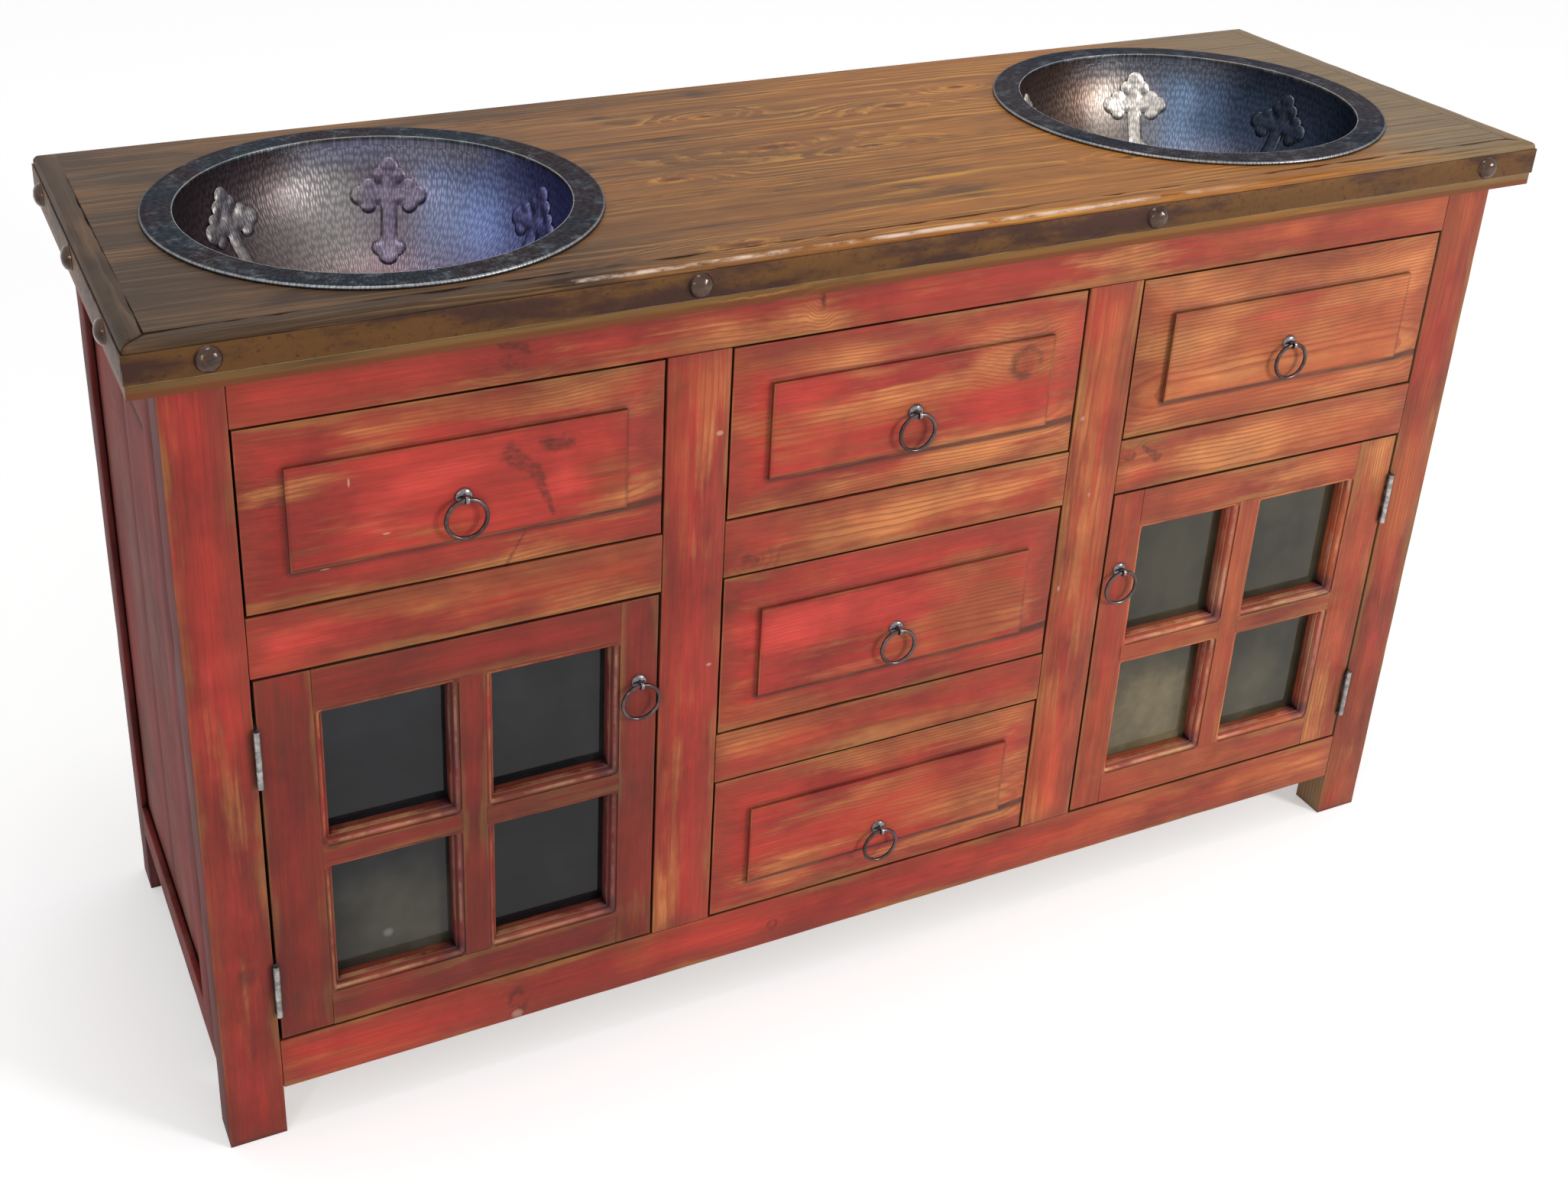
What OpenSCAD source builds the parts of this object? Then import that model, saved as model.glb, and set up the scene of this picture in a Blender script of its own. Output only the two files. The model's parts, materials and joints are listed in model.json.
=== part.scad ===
// Double-sink vanity: painted pine cabinet with a plank top, two round copper sinks, five drawers and two doors.
// The cabinet stands on z = 0, its front faces -Y, and the origin is under the middle of its outer box.

/* [Top] */
// Width of the top over the iron strap
top_w = 1524; // [1300:1:1800]
// Depth of the top from the strap's front to the back edge
top_d = 497; // [470:1:600]
// Thickness of the planks and edging
top_t = 48; // [40:1:60]
// Number of planks
planks = 3; // [2:1:4]
// Width of the edging strips
edging_w = 22; // [16:1:30]
// Gap at the joints between planks and at the mitres
joint_gap = 0.2; // [0.1:0.1:0.5]
// How far the top stands out past the cabinet at each side
side_overhang = 28; // [10:1:50]
// How far the top stands out past the cabinet's face
front_overhang = 27.5; // [15:0.5:50]

/* [Iron strap] */
// Height of the strap
band_h = 28; // [20:1:34]
// Thickness of the strap
band_t = 2; // [1:0.5:3]
// Height of the strap above the underside of the top
band_lift = 13; // [2:1:16]
// Diameter of a domed nail head
nail_d = 24.5; // [16:0.5:27]
// Height of a domed nail head
nail_h = 8; // [4:0.5:10]
// Distance of the outer front nails from the strap's ends
nail_end = 69.5; // [40:0.5:120]
// Distance of the inner front nails from the middle
nail_mid = 252; // [150:1:350]
// Distance of the first side nail from the strap's front
nail_side = 86.5; // [40:0.5:110]
// Spacing of the side nails
nail_pitch = 176; // [120:1:180]

/* [Cabinet] */
// Height of the clear space under the bottom rail
foot_h = 59.5; // [40:0.5:120]
// Height of the bottom rail
bottom_rail_h = 62; // [40:1:100]
// Height of the door openings
door_open_h = 432; // [400:1:520]
// Height of the rails over the doors
bay_rail_h = 65; // [40:1:90]
// Height of the top drawer openings
top_open_h = 188; // [160:1:240]
// Height of the top rail
top_rail_h = 53.5; // [40:0.5:90]
// Height of the bottom centre drawer's opening
low_open_h = 181; // [150:1:190]
// Height of the rail between the middle and the bottom centre drawers
low_rail_h = 61; // [40:1:80]
// Width of a leg across the front
leg_w = 58; // [50:1:80]
// Depth of a leg
leg_d = 42; // [38:1:60]
// Width of the front stiles
stile_w = 67; // [50:1:90]
// Thickness of the face frame
frame_t = 22; // [18:1:28]

/* [Sides and back] */
// Width of the side frame's front stile
side_stile_w = 46; // [30:1:80]
// Height of the side frame's top rail
side_top_h = 80; // [50:1:120]
// Height of the side frame's bottom rail
side_bottom_h = 40; // [34:1:60]
// Height of the side frame's bottom edge over the floor
side_lift = 82; // [65:1:90]
// Thickness of the side frame
side_t = 20; // [18:1:26]
// How far the side panel lies behind the frame's face
panel_set = 8; // [4:0.5:10]
// Thickness of the side panels
panel_t = 8; // [5:0.5:9]
// Number of boards in a side panel
panel_boards = 2; // [1:1:4]
// Depth of the grooves that hold the side panels
groove_d = 8; // [5:0.5:12]
// Play of a panel in its groove
groove_play = 0.3; // [0.1:0.1:0.5]
// Height of the top back rail
back_rail_h = 70; // [40:1:100]
// Thickness of the back panel
back_t = 6; // [4:0.5:12]
// Thickness of the cabinet floor
floor_t = 18; // [12:1:25]
// How far the floor lies below the bottom rail's top edge
floor_drop = 12; // [6:1:24]
// Thickness of the partitions
partition_t = 18; // [12:1:25]

/* [Drawers] */
// Gap round a drawer front
drawer_gap = 2; // [1:0.5:4]
// How far a front's edge lies behind the face frame
front_set = 1; // [0:0.5:3]
// Thickness of a front at its edge
front_edge_t = 14; // [10:1:20]
// Rise of the sloping border
bevel_rise = 4; // [2:0.5:8]
// Step from the border up to the field
field_step = 5; // [2:0.5:8]
// Width of the sloping border
border_w = 40; // [25:1:50]
// Thickness of the box sides
box_t = 12; // [9:1:16]
// Thickness of the box bottoms
box_bottom_t = 6; // [4:1:10]
// Clear space between an opening and the box at each side
box_gap = 8; // [5:1:14]
// Height of the side drawers' boxes under the sinks
sink_box_h = 106; // [80:1:112]
// Height of a drawer's bottom above its sides' lower edge
bottom_lift = 4; // [2:1:10]
// Clear height over a centre drawer's box
box_head = 36; // [20:1:50]
// Clear space behind the boxes
box_back_gap = 14; // [8:1:40]
// Height of the box bottoms' edge over the opening's sill
box_lift = 3; // [2:0.5:6]
// Play between a runner and the box over it
runner_play = 0.3; // [0.2:0.1:1]
// Height of a runner
runner_h = 20; // [14:1:30]
// How far a runner reaches under a box from the opening's side
runner_reach = 24; // [20:1:40]
// Height of the guides that stand on the runners beside a box
guide_h = 16; // [10:1:24]
// Play between a guide and the box beside it
guide_play = 0.5; // [0.3:0.1:1.5]
// Width of the rear slot that clears the drain
slot_w = 120; // [100:1:160]
// Clear space in front of the drain in that slot
slot_front = 60; // [40:1:80]

/* [Doors] */
// Gap round a door
door_gap = 2.5; // [2:0.5:4]
// How far a door lies behind the face frame
door_set = 0.5; // [0:0.5:2]
// Thickness of a door
door_t = 26; // [22:1:28]
// Width of the stile at the hinges
hinge_stile_w = 53; // [40:1:70]
// Width of the stile at the pull
pull_stile_w = 40; // [34:1:60]
// Height of the door's top rail
door_top_h = 44; // [30:1:60]
// Height of the door's bottom rail
door_bottom_h = 41; // [30:1:60]
// Width of the upright bar between the panes
bar_w = 26; // [16:1:40]
// Width of the level bar between the panes
bar_h = 20; // [16:1:40]
// Width of the routed moulding round a pane
mould_w = 9; // [7:0.5:11]
// Depth of the routed moulding
mould_d = 7; // [6:0.5:9]
// Width of the step at the moulding's inner edge
mould_lip = 1; // [0.5:0.5:1.5]
// Width of the hollow between the moulding's bead and the door's face
mould_flat = 2; // [1:0.5:2.5]
// Radius at which the router turns inside a pane's corner
turn_r = 1; // [0.5:0.5:3]
// Thickness of the glazing beads
bead_t = 3.5; // [2:0.5:6]
// Thickness of the glass
glass_t = 3; // [2:0.5:4]
// How far the glass reaches behind the wood
rebate_w = 6; // [4:0.5:7]
// Play round the glass
glass_play = 0.4; // [0.2:0.1:1]

/* [Hinges and catches] */
// Length of a hinge
hinge_l = 64; // [45:1:80]
// Width of a hinge leaf
leaf_w = 20; // [14:1:22]
// Thickness of a hinge leaf
leaf_t = 1.2; // [0.8:0.1:1.2]
// Radius of the knuckles
knuckle_r = 3.2; // [2.6:0.1:3.2]
// Radius of the pins
pin_r = 1.6; // [1.2:0.1:1.8]
// Running play of a knuckle on its pin
pin_play = 0.05; // [0.02:0.01:0.1]
// Distance of the pin in front of the face frame
pin_proud = 3.4; // [3.4:0.1:4.5]
// Gap between two knuckles
knuckle_gap = 0.3; // [0.2:0.1:0.6]
// Distance of the upper hinge's middle below the door opening's top
hinge_top = 85.5; // [50:0.5:120]
// Height of the lower hinge's middle over the door opening's sill
hinge_bottom = 68.5; // [50:0.5:120]
// Height of a catch
catch_h = 36; // [24:1:50]
// Depth of a catch
catch_d = 13; // [8:1:20]
// How far a catch reaches behind the door
catch_reach = 22; // [14:1:34]
// Thickness of a strike plate
strike_t = 0.8; // [0.5:0.1:1.5]
// Gap between a strike plate and its catch
strike_gap = 0.3; // [0.2:0.1:0.6]

/* [Ring pulls] */
// Outer diameter of a ring
ring_d = 44; // [34:1:50]
// Diameter of the ring's wire
wire_d = 4.5; // [3:0.5:5]
// Diameter of a domed rose
rose_d = 17; // [12:1:20]
// Height of a rose's dome
rose_h = 4; // [2:0.5:5]
// Play of the wire in its eye
eye_play = 0.6; // [0.3:0.1:1]
// Thickness of the eye's strap
eye_t = 1.7; // [1.2:0.1:2.4]
// Width of the eye's strap
eye_w = 3.2; // [2.4:0.2:4]
// How far the eye sinks into the rose
eye_seat = 0.8; // [0.6:0.1:1.2]
// Diameter of the eye's shank
shank_d = 3.6; // [2.6:0.2:4]
// Length of the shank in the wood
shank_l = 13; // [8:1:16]
// Play of the shank in its hole
shank_play = 0.1; // [0.05:0.05:0.2]
// Distance of a drawer's eye below the middle of its opening
eye_drop = 6; // [0:1:16]
// The same on the bottom centre drawer
low_eye_drop = 22; // [0:1:30]
// Height of a door's eye above the middle of its opening
door_eye_up = 116.5; // [60:0.5:140]

/* [Sinks] */
// Distance of a sink's centre from its end of the top
sink_end = 284; // [245:1:320]
// Distance of a sink's centre behind the cabinet's face
sink_y = 225; // [222:1:230]
// Outer diameter of the rim
rim_d = 438; // [410:1:440]
// Thickness of the rim with its folded edge
rim_t = 4; // [2:0.5:6]
// Diameter of the bowl at the rim
bowl_d = 376; // [350:1:380]
// Depth of the bowl
bowl_h = 150; // [149:1:170]
// Radius of the curve between the bowl's wall and its bottom
curve_r = 148; // [110:1:149]
// Thickness of the copper sheet
sheet_t = 2; // [1.5:0.1:3]
// Radius of the drain hole
drain_r = 22; // [16:0.5:24]
// Play of a bowl in its cut-out
cutout_play = 4; // [2:0.5:6]
// Number of crosses in a bowl
crosses = 6; // [4:1:6]
// Turn of the first cross from the +X direction
cross_turn = 10; // [0:1:60]
// Height of a cross
cross_h = 113; // [80:1:116]
// Width of a cross
cross_w = 80; // [60:1:90]
// Width of a cross's stem
stem_w = 17; // [12:1:22]
// Radius of a bud
bud_r = 10; // [7:0.5:12]
// Radius of a trefoil's two side lobes
lobe_r = 8; // [6:0.5:10]
// Distance of the side lobes' centres below a trefoil's tip
lobe_drop = 19; // [16:0.5:22]
// Height of a cross above the bowl's wall
relief = 3.5; // [2:0.5:5]
// Solder gap between a cross and the bowl's wall
cross_seat = 0.05; // [0.02:0.01:0.1]
// Distance of a cross's head below the rim, along the wall
cross_drop = 20; // [14:1:30]

/* [Hidden] */
$fn = 96;
eps = 0.01;
// How far a cut runs past a face
over = 1;

// Levels, from the floor up
sill_z = foot_h + bottom_rail_h;
bay_rail_z = sill_z + door_open_h;
top_open_z = bay_rail_z + bay_rail_h;
top_rail_z = top_open_z + top_open_h;
under_z = top_rail_z + top_rail_h;
deck_z = under_z + top_t;
low_rail_z = sill_z + low_open_h;
mid_open_z = low_rail_z + low_rail_h;
mid_open_h = bay_rail_z - mid_open_z;
floor_z = sill_z - floor_drop;
side_rail_z = under_z - side_top_h;
side_sill_z = side_lift + side_bottom_h;

// Places across and from front to back
back_y = (top_d + nail_h) / 2;
band_y = back_y - top_d;
face_y = band_y + front_overhang;
frame_y = face_y + frame_t;
body_x = top_w / 2 - side_overhang;
bay_x = body_x - leg_w;
bay_w = (2 * bay_x - 2 * stile_w) / 3;
stile_x = bay_w / 2;
leg_back_y = back_y - leg_d;
back_rail_y = back_y - frame_t;
side_stile_y = face_y + leg_d + side_stile_w;
partition_x = stile_x + stile_w / 2;
wood_x = top_w / 2 - band_t;
wood_y = band_y + band_t;
plank_x = wood_x - edging_w;
plank_y = wood_y + edging_w;
plank_step = (back_y - plank_y + joint_gap) / planks;
panel_x = body_x - panel_set;
sink_x = top_w / 2 - sink_end;
sink_cy = face_y + sink_y;

// Drawers and doors
field_y = face_y + front_set - bevel_rise - field_step;
box_y = face_y + front_set + front_edge_t;
box_end_y = back_rail_y - box_back_gap;
door_w = bay_w - 2 * door_gap;
door_h = door_open_h - 2 * door_gap;
door_y = face_y + door_set;
door_back_y = door_y + door_t;
glass_y = door_back_y - bead_t - glass_t;
pane_w = (door_w - hinge_stile_w - pull_stile_w - bar_w) / 2;
pane_h = (door_h - door_top_h - door_bottom_h - bar_h) / 2;
door_x = bay_w / 2 + stile_w + door_gap;
door_z = sill_z + door_gap;
pin_x = bay_x - door_gap / 2;
pin_y = face_y - pin_proud;
hinge_zs = [sill_z + hinge_bottom, bay_rail_z - hinge_top];
catch_z = sill_z + door_open_h / 2;
eye_hole_r = wire_d / 2 + eye_play;
eye_out = rose_h + eye_hole_r + eye_t - eye_seat;
ring_r = (ring_d - wire_d) / 2;
flat_r = bowl_d / 2 - curve_r;
wall_h = bowl_h - curve_r;

// A board between two opposite corners
module board(low, high) {
  translate(low) cube(high - low);
}

module mirrored(side) {
  mirror([side < 0 ? 1 : 0, 0, 0]) children();
}

// Legs

module leg(side, front) {
  y = front ? face_y : leg_back_y;
  color([0.62, 0.13, 0.10])
    mirrored(side)
      difference() {
        board([bay_x, y, 0], [body_x, y + leg_d, under_z]);
        if (front) for (z = hinge_zs) leaf_pocket(z);
        if (!front) side_groove(y - over, y + groove_d);
      }
}

// The seat of a hinge leaf in the leg's inner face
module leaf_pocket(z) {
  board([bay_x - over, face_y - over, z - hinge_l / 2], [bay_x + leaf_t, face_y + leaf_w, z + hinge_l / 2]);
}

// The groove that takes an upright edge of the side panel
module side_groove(y0, y1) {
  board(
    [panel_x - panel_t - groove_play, y0, side_sill_z - groove_d],
    [panel_x + groove_play, y1, side_rail_z + groove_d]
  );
}

// Face frame

module stile(side) {
  color([0.66, 0.16, 0.11])
    mirrored(side)
      board([stile_x, face_y, sill_z], [stile_x + stile_w, frame_y, top_rail_z]);
}

module rail(x0, x1, z0, z1) {
  board([x0, face_y, z0], [x1, frame_y, z1]);
}

module top_rail() {
  color([0.68, 0.17, 0.11]) rail(-bay_x, bay_x, top_rail_z, under_z);
}

module bottom_rail() {
  color([0.64, 0.15, 0.11]) rail(-bay_x, bay_x, foot_h, sill_z);
}

module cross_rails() {
  color([0.70, 0.20, 0.12]) {
    for (side = [-1, 1]) mirrored(side) rail(stile_x + stile_w, bay_x, bay_rail_z, top_open_z);
    rail(-stile_x, stile_x, bay_rail_z, top_open_z);
    rail(-stile_x, stile_x, low_rail_z, mid_open_z);
  }
}

// Sides, back and inside

module side_frame(side) {
  stile_y0 = face_y + leg_d;
  color([0.52, 0.13, 0.13])
    mirrored(side) {
      difference() {
        board([body_x - side_t, stile_y0, side_lift], [body_x, side_stile_y, under_z]);
        side_groove(side_stile_y - groove_d, side_stile_y + over);
      }
      difference() {
        board([body_x - side_t, side_stile_y, side_rail_z], [body_x, leg_back_y, under_z]);
        side_groove(side_stile_y - over, leg_back_y + over);
      }
      difference() {
        board([body_x - side_t, side_stile_y, side_lift], [body_x, leg_back_y, side_sill_z]);
        side_groove(side_stile_y - over, leg_back_y + over);
      }
    }
}

module side_panels() {
  hold = groove_d - groove_play;
  y0 = side_stile_y - hold;
  step = (leg_back_y + hold - y0 + joint_gap) / panel_boards;
  color([0.50, 0.12, 0.13])
    for (side = [-1, 1])
      for (i = [0 : panel_boards - 1])
        mirrored(side)
          board(
            [panel_x - panel_t, y0 + i * step, side_sill_z - hold],
            [panel_x, y0 + (i + 1) * step - joint_gap, side_rail_z + hold]
          );
}

module back_rails() {
  color([0.60, 0.42, 0.24]) {
    board([-bay_x, back_rail_y, under_z - back_rail_h], [bay_x, back_y, under_z]);
    board([-bay_x, back_rail_y, foot_h], [bay_x, back_y, sill_z]);
  }
}

module back_panel() {
  reach = partition_x + partition_t / 2;
  color([0.66, 0.48, 0.29])
    board([-reach, back_rail_y, sill_z], [reach, back_rail_y + back_t, under_z - back_rail_h]);
}

module floor_board() {
  side_x = body_x - side_t;
  color([0.66, 0.48, 0.29])
    difference() {
      board([-side_x, frame_y, floor_z - floor_t], [side_x, back_rail_y, floor_z]);
      for (side = [-1, 1])
        mirrored(side) {
          board(
            [bay_x, frame_y - over, floor_z - floor_t - over],
            [side_x + over, face_y + leg_d, floor_z + over]
          );
          board(
            [bay_x, leg_back_y, floor_z - floor_t - over],
            [side_x + over, back_rail_y + over, floor_z + over]
          );
        }
    }
}

module partitions() {
  color([0.66, 0.48, 0.29])
    for (side = [-1, 1])
      mirrored(side)
        board(
          [partition_x - partition_t / 2, frame_y, floor_z],
          [partition_x + partition_t / 2, back_rail_y, under_z]
        );
}

// One runner from x0 to x1 under a drawer whose opening's sill is at z; the box is the side s of the opening's
// side x, and a guide stands between them
module runner(x0, x1, z, h, x, s) {
  top = z + box_lift - runner_play;
  guide_x = x + s * (box_gap - guide_play);
  board([x0, frame_y, top - h], [x1, back_rail_y, top]);
  board([min(x, guide_x), frame_y, top - eps], [max(x, guide_x), back_rail_y, top + guide_h]);
}

module drawer_runners() {
  inner = partition_x - partition_t / 2;
  outer = partition_x + partition_t / 2;
  low_h = floor_drop + box_lift - runner_play;
  stile_end = stile_x + stile_w;
  color([0.72, 0.55, 0.34])
    for (side = [-1, 1])
      mirrored(side) {
        runner(bay_x - runner_reach, bay_x, top_open_z, runner_h, bay_x, -1);
        runner(outer, stile_end + runner_reach, top_open_z, runner_h, stile_end, 1);
        runner(stile_x - runner_reach, inner, top_open_z, runner_h, stile_x, -1);
        runner(stile_x - runner_reach, inner, mid_open_z, runner_h, stile_x, -1);
        runner(stile_x - runner_reach, inner, sill_z, low_h, stile_x, -1);
      }
}

// Top

module top_planks() {
  color([0.36, 0.20, 0.10])
    difference() {
      for (i = [0 : planks - 1])
        board(
          [-plank_x, plank_y + i * plank_step, under_z],
          [plank_x, plank_y + (i + 1) * plank_step - joint_gap, deck_z]
        );
      for (side = [-1, 1])
        translate([side * sink_x, sink_cy, under_z - over])
          cylinder(r = bowl_d / 2 + sheet_t + cutout_play, h = top_t + 2 * over);
    }
}

module top_edging() {
  long_x = wood_x - joint_gap;
  short_x = plank_x - joint_gap;
  color([0.33, 0.19, 0.10])
    translate([0, 0, under_z]) {
      linear_extrude(top_t)
        polygon([[-long_x, wood_y], [long_x, wood_y], [short_x, plank_y], [-short_x, plank_y]]);
      for (side = [-1, 1])
        mirrored(side)
          linear_extrude(top_t)
            polygon([[wood_x, wood_y], [wood_x, back_y], [plank_x, back_y], [plank_x, plank_y]]);
    }
}

module iron_band() {
  outer_x = top_w / 2;
  color([0.30, 0.22, 0.13])
    difference() {
      board([-outer_x, band_y, under_z + band_lift], [outer_x, back_y, under_z + band_lift + band_h]);
      board([-wood_x, wood_y, under_z], [wood_x, back_y + over, deck_z]);
    }
}

// A domed head, its flat back on z = 0
module dome(d, h) {
  r = (d * d / 4 + h * h) / (2 * h);
  intersection() {
    translate([0, 0, h - r]) sphere(r);
    cylinder(d = d + over, h = h + over);
  }
}

module band_nails() {
  z = under_z + band_lift + band_h / 2;
  color([0.25, 0.19, 0.16]) {
    for (x = [top_w / 2 - nail_end, nail_mid])
      for (side = [-1, 1]) translate([side * x, band_y, z]) rotate([90, 0, 0]) dome(nail_d, nail_h);
    for (i = [0 : 2])
      for (side = [-1, 1])
        translate([side * top_w / 2, band_y + nail_side + i * nail_pitch, z])
          rotate([0, side * 90, 0]) dome(nail_d, nail_h);
  }
}

// Sinks

// Half section of the bowl's space, grown by a distance, with z = 0 on the top's surface
module bowl_section(grow) {
  intersection() {
    translate([flat_r, -wall_h]) circle(r = curve_r + grow);
    translate([flat_r, -bowl_h - grow]) square([curve_r + grow, curve_r + grow]);
  }
  translate([0, -bowl_h - grow]) square([flat_r + eps, bowl_h + grow]);
  translate([0, -wall_h - eps]) square([bowl_d / 2 + grow, wall_h + eps]);
}

module sink(side) {
  color([0.33, 0.26, 0.25])
    translate([side * sink_x, sink_cy, deck_z])
      difference() {
        rotate_extrude() {
          bowl_section(sheet_t);
          square([rim_d / 2, rim_t]);
        }
        rotate_extrude() {
          bowl_section(0);
          square([bowl_d / 2, rim_t + over]);
        }
        translate([0, 0, -bowl_h - sheet_t - over]) cylinder(r = drain_r, h = sheet_t + 2 * over);
      }
}

// A trefoil at the end of a cross's arm that points up from the origin
module bud() {
  translate([0, -bud_r]) circle(r = bud_r);
  for (side = [-1, 1]) translate([side * bud_r, -lobe_drop]) circle(r = lobe_r);
}

// The cross's outline, its head at [0, 0] and its foot at [0, -cross_h]
module cross_outline() {
  arm_y = -cross_w / 2;
  translate([-stem_w / 2, -cross_h + bud_r]) square([stem_w, cross_h - 2 * bud_r]);
  translate([-cross_w / 2 + bud_r, arm_y - stem_w / 2]) square([cross_w - 2 * bud_r, stem_w]);
  bud();
  translate([0, -cross_h]) rotate(180) bud();
  for (side = [-1, 1]) translate([side * cross_w / 2, arm_y]) rotate(-side * 90) bud();
}

// Crosses stand on the bowl's wall, cut from a layer of it by their outline, which looks along the wall's tilt
module bowl_crosses() {
  mid = (cross_drop + cross_h / 2 - wall_h) / curve_r * 180 / PI;
  color([0.40, 0.32, 0.30])
    for (side = [-1, 1])
      translate([side * sink_x, sink_cy, deck_z])
        for (i = [0 : crosses - 1])
          intersection() {
            rotate_extrude()
              difference() {
                bowl_section(-cross_seat);
                bowl_section(-relief);
                translate([-over, -bowl_h]) square([flat_r + over, bowl_h + over]);
              }
            rotate([0, 0, cross_turn + i * 360 / crosses])
              translate([flat_r, 0, -wall_h])
                rotate([0, mid, 0])
                  translate([curve_r / 2, 0, cross_h / 2])
                    rotate([90, 0, 90])
                      linear_extrude(curve_r) cross_outline();
          }
}

// Hinges and catches

// Half of a butt hinge at height z on the pin's axis; the leaf lies at x = leaf_x, on the side the sign gives
module hinge_half(z, leaf_x, grow, thirds) {
  third = (hinge_l - 2 * knuckle_gap) / 3;
  difference() {
    union() {
      board(
        [min(leaf_x, leaf_x + grow * leaf_t), face_y, z - hinge_l / 2],
        [max(leaf_x, leaf_x + grow * leaf_t), face_y + leaf_w, z + hinge_l / 2]
      );
      for (i = thirds)
        translate([0, 0, z - hinge_l / 2 + i * (third + knuckle_gap)]) {
          translate([pin_x, pin_y, 0]) cylinder(r = knuckle_r, h = third);
          board(
            [min(leaf_x, leaf_x + grow * leaf_t), pin_y, 0],
            [max(leaf_x, leaf_x + grow * leaf_t), face_y + over, third]
          );
        }
    }
    translate([pin_x, pin_y, z - hinge_l / 2 - over]) cylinder(r = pin_r + pin_play, h = hinge_l + 2 * over);
  }
}

module hinge_leaves() {
  color([0.62, 0.63, 0.63])
    for (side = [-1, 1]) mirrored(side) for (z = hinge_zs) hinge_half(z, bay_x, 1, [0, 2]);
}

module hinge_pins() {
  color([0.70, 0.71, 0.71])
    for (side = [-1, 1])
      mirrored(side)
        for (z = hinge_zs)
          translate([pin_x, pin_y, z - hinge_l / 2]) cylinder(r = pin_r, h = hinge_l);
}

module door_catches() {
  x = partition_x + partition_t / 2;
  y = door_back_y + strike_t + strike_gap;
  color([0.55, 0.42, 0.30])
    for (side = [-1, 1])
      mirrored(side)
        board([x, y, catch_z - catch_h / 2], [door_x + catch_reach, y + catch_d, catch_z + catch_h / 2]);
}

// Ring pulls

// A rose with its eye and shank, on a face whose plane is y; the wood lies behind it
module pull(x, y, z) {
  color([0.28, 0.24, 0.22])
    translate([x, y, z]) {
      difference() {
        union() {
          rotate([90, 0, 0]) dome(rose_d, rose_h);
          translate([-eye_w / 2, -eye_out, 0]) rotate([0, 90, 0]) cylinder(r = eye_hole_r + eye_t, h = eye_w);
        }
        translate([-eye_w, -eye_out, 0]) rotate([0, 90, 0]) cylinder(r = eye_hole_r, h = 2 * eye_w);
      }
      rotate([-90, 0, 0]) cylinder(d = shank_d, h = shank_l);
    }
}

module pull_hole(x, y, z) {
  translate([x, y - over, z])
    rotate([-90, 0, 0]) cylinder(d = shank_d + 2 * shank_play, h = shank_l + shank_play + over);
}

module ring(x, y, z) {
  color([0.24, 0.21, 0.20])
    translate([x, y - eye_out, z - ring_r])
      rotate([90, 0, 0]) rotate_extrude() translate([ring_r, 0]) circle(d = wire_d);
}

// Drawers, by bay (-1, 0, 1), the sill of their opening and its height

module drawer_front(bay, z, h, drop) {
  x = bay * (bay_w + stile_w);
  half = bay_w / 2 - drawer_gap;
  low = z + drawer_gap;
  high = z + h - drawer_gap;
  edge_y = face_y + front_set;
  color([0.70, 0.19, 0.12])
    difference() {
      union() {
        intersection() {
          translate([0, 0, low])
            linear_extrude(high - low)
              polygon([
                [x - half, box_y], [x - half, edge_y], [x - half + border_w, edge_y - bevel_rise],
                [x + half - border_w, edge_y - bevel_rise], [x + half, edge_y], [x + half, box_y]
              ]);
          translate([x - half, 0, 0])
            rotate([90, 0, 90])
              linear_extrude(2 * half)
                polygon([
                  [box_y, low], [edge_y, low], [edge_y - bevel_rise, low + border_w],
                  [edge_y - bevel_rise, high - border_w], [edge_y, high], [box_y, high]
                ]);
        }
        board(
          [x - half + border_w, field_y, low + border_w],
          [x + half - border_w, box_y, high - border_w]
        );
      }
      pull_hole(x, field_y, z + h / 2 - drop);
    }
}

// A box of height h; slotted boxes leave the drain its way to the back
module drawer_box(bay, z, h, slotted) {
  x = bay * (bay_w + stile_w);
  half = bay_w / 2 - box_gap;
  low = z + box_lift;
  high = low + h;
  base = low + bottom_lift;
  drain_x = bay * sink_x;
  slot_y = sink_cy - slot_front;
  slot_x0 = drain_x - slot_w / 2;
  slot_x1 = drain_x + slot_w / 2;
  color([0.78, 0.62, 0.40]) {
    for (s = [-1, 1])
      board(
        [min(x + s * half, x + s * (half - box_t)), box_y, low],
        [max(x + s * half, x + s * (half - box_t)), box_end_y, high]
      );
    board([x - half + box_t, box_y, base + box_bottom_t], [x + half - box_t, box_y + box_t, high]);
    difference() {
      board([x - half + box_t, box_y, base], [x + half - box_t, box_end_y, base + box_bottom_t]);
      if (slotted) board([slot_x0, slot_y, low], [slot_x1, box_end_y + over, high]);
    }
    if (slotted) {
      board([x - half + box_t, box_end_y - box_t, base + box_bottom_t], [slot_x0, box_end_y, high]);
      board([slot_x1, box_end_y - box_t, base + box_bottom_t], [x + half - box_t, box_end_y, high]);
      board(
        [slot_x0 - box_t, slot_y, base + box_bottom_t],
        [slot_x0, box_end_y - box_t, high]
      );
      board(
        [slot_x1, slot_y, base + box_bottom_t],
        [slot_x1 + box_t, box_end_y - box_t, high]
      );
      board(
        [slot_x0 - box_t, slot_y - box_t, base + box_bottom_t],
        [slot_x1 + box_t, slot_y, high]
      );
    } else {
      board(
        [x - half + box_t, box_end_y - box_t, base + box_bottom_t],
        [x + half - box_t, box_end_y, high]
      );
    }
  }
}

module drawer_pull(bay, z, h, drop) {
  pull(bay * (bay_w + stile_w), field_y, z + h / 2 - drop);
}

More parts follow.
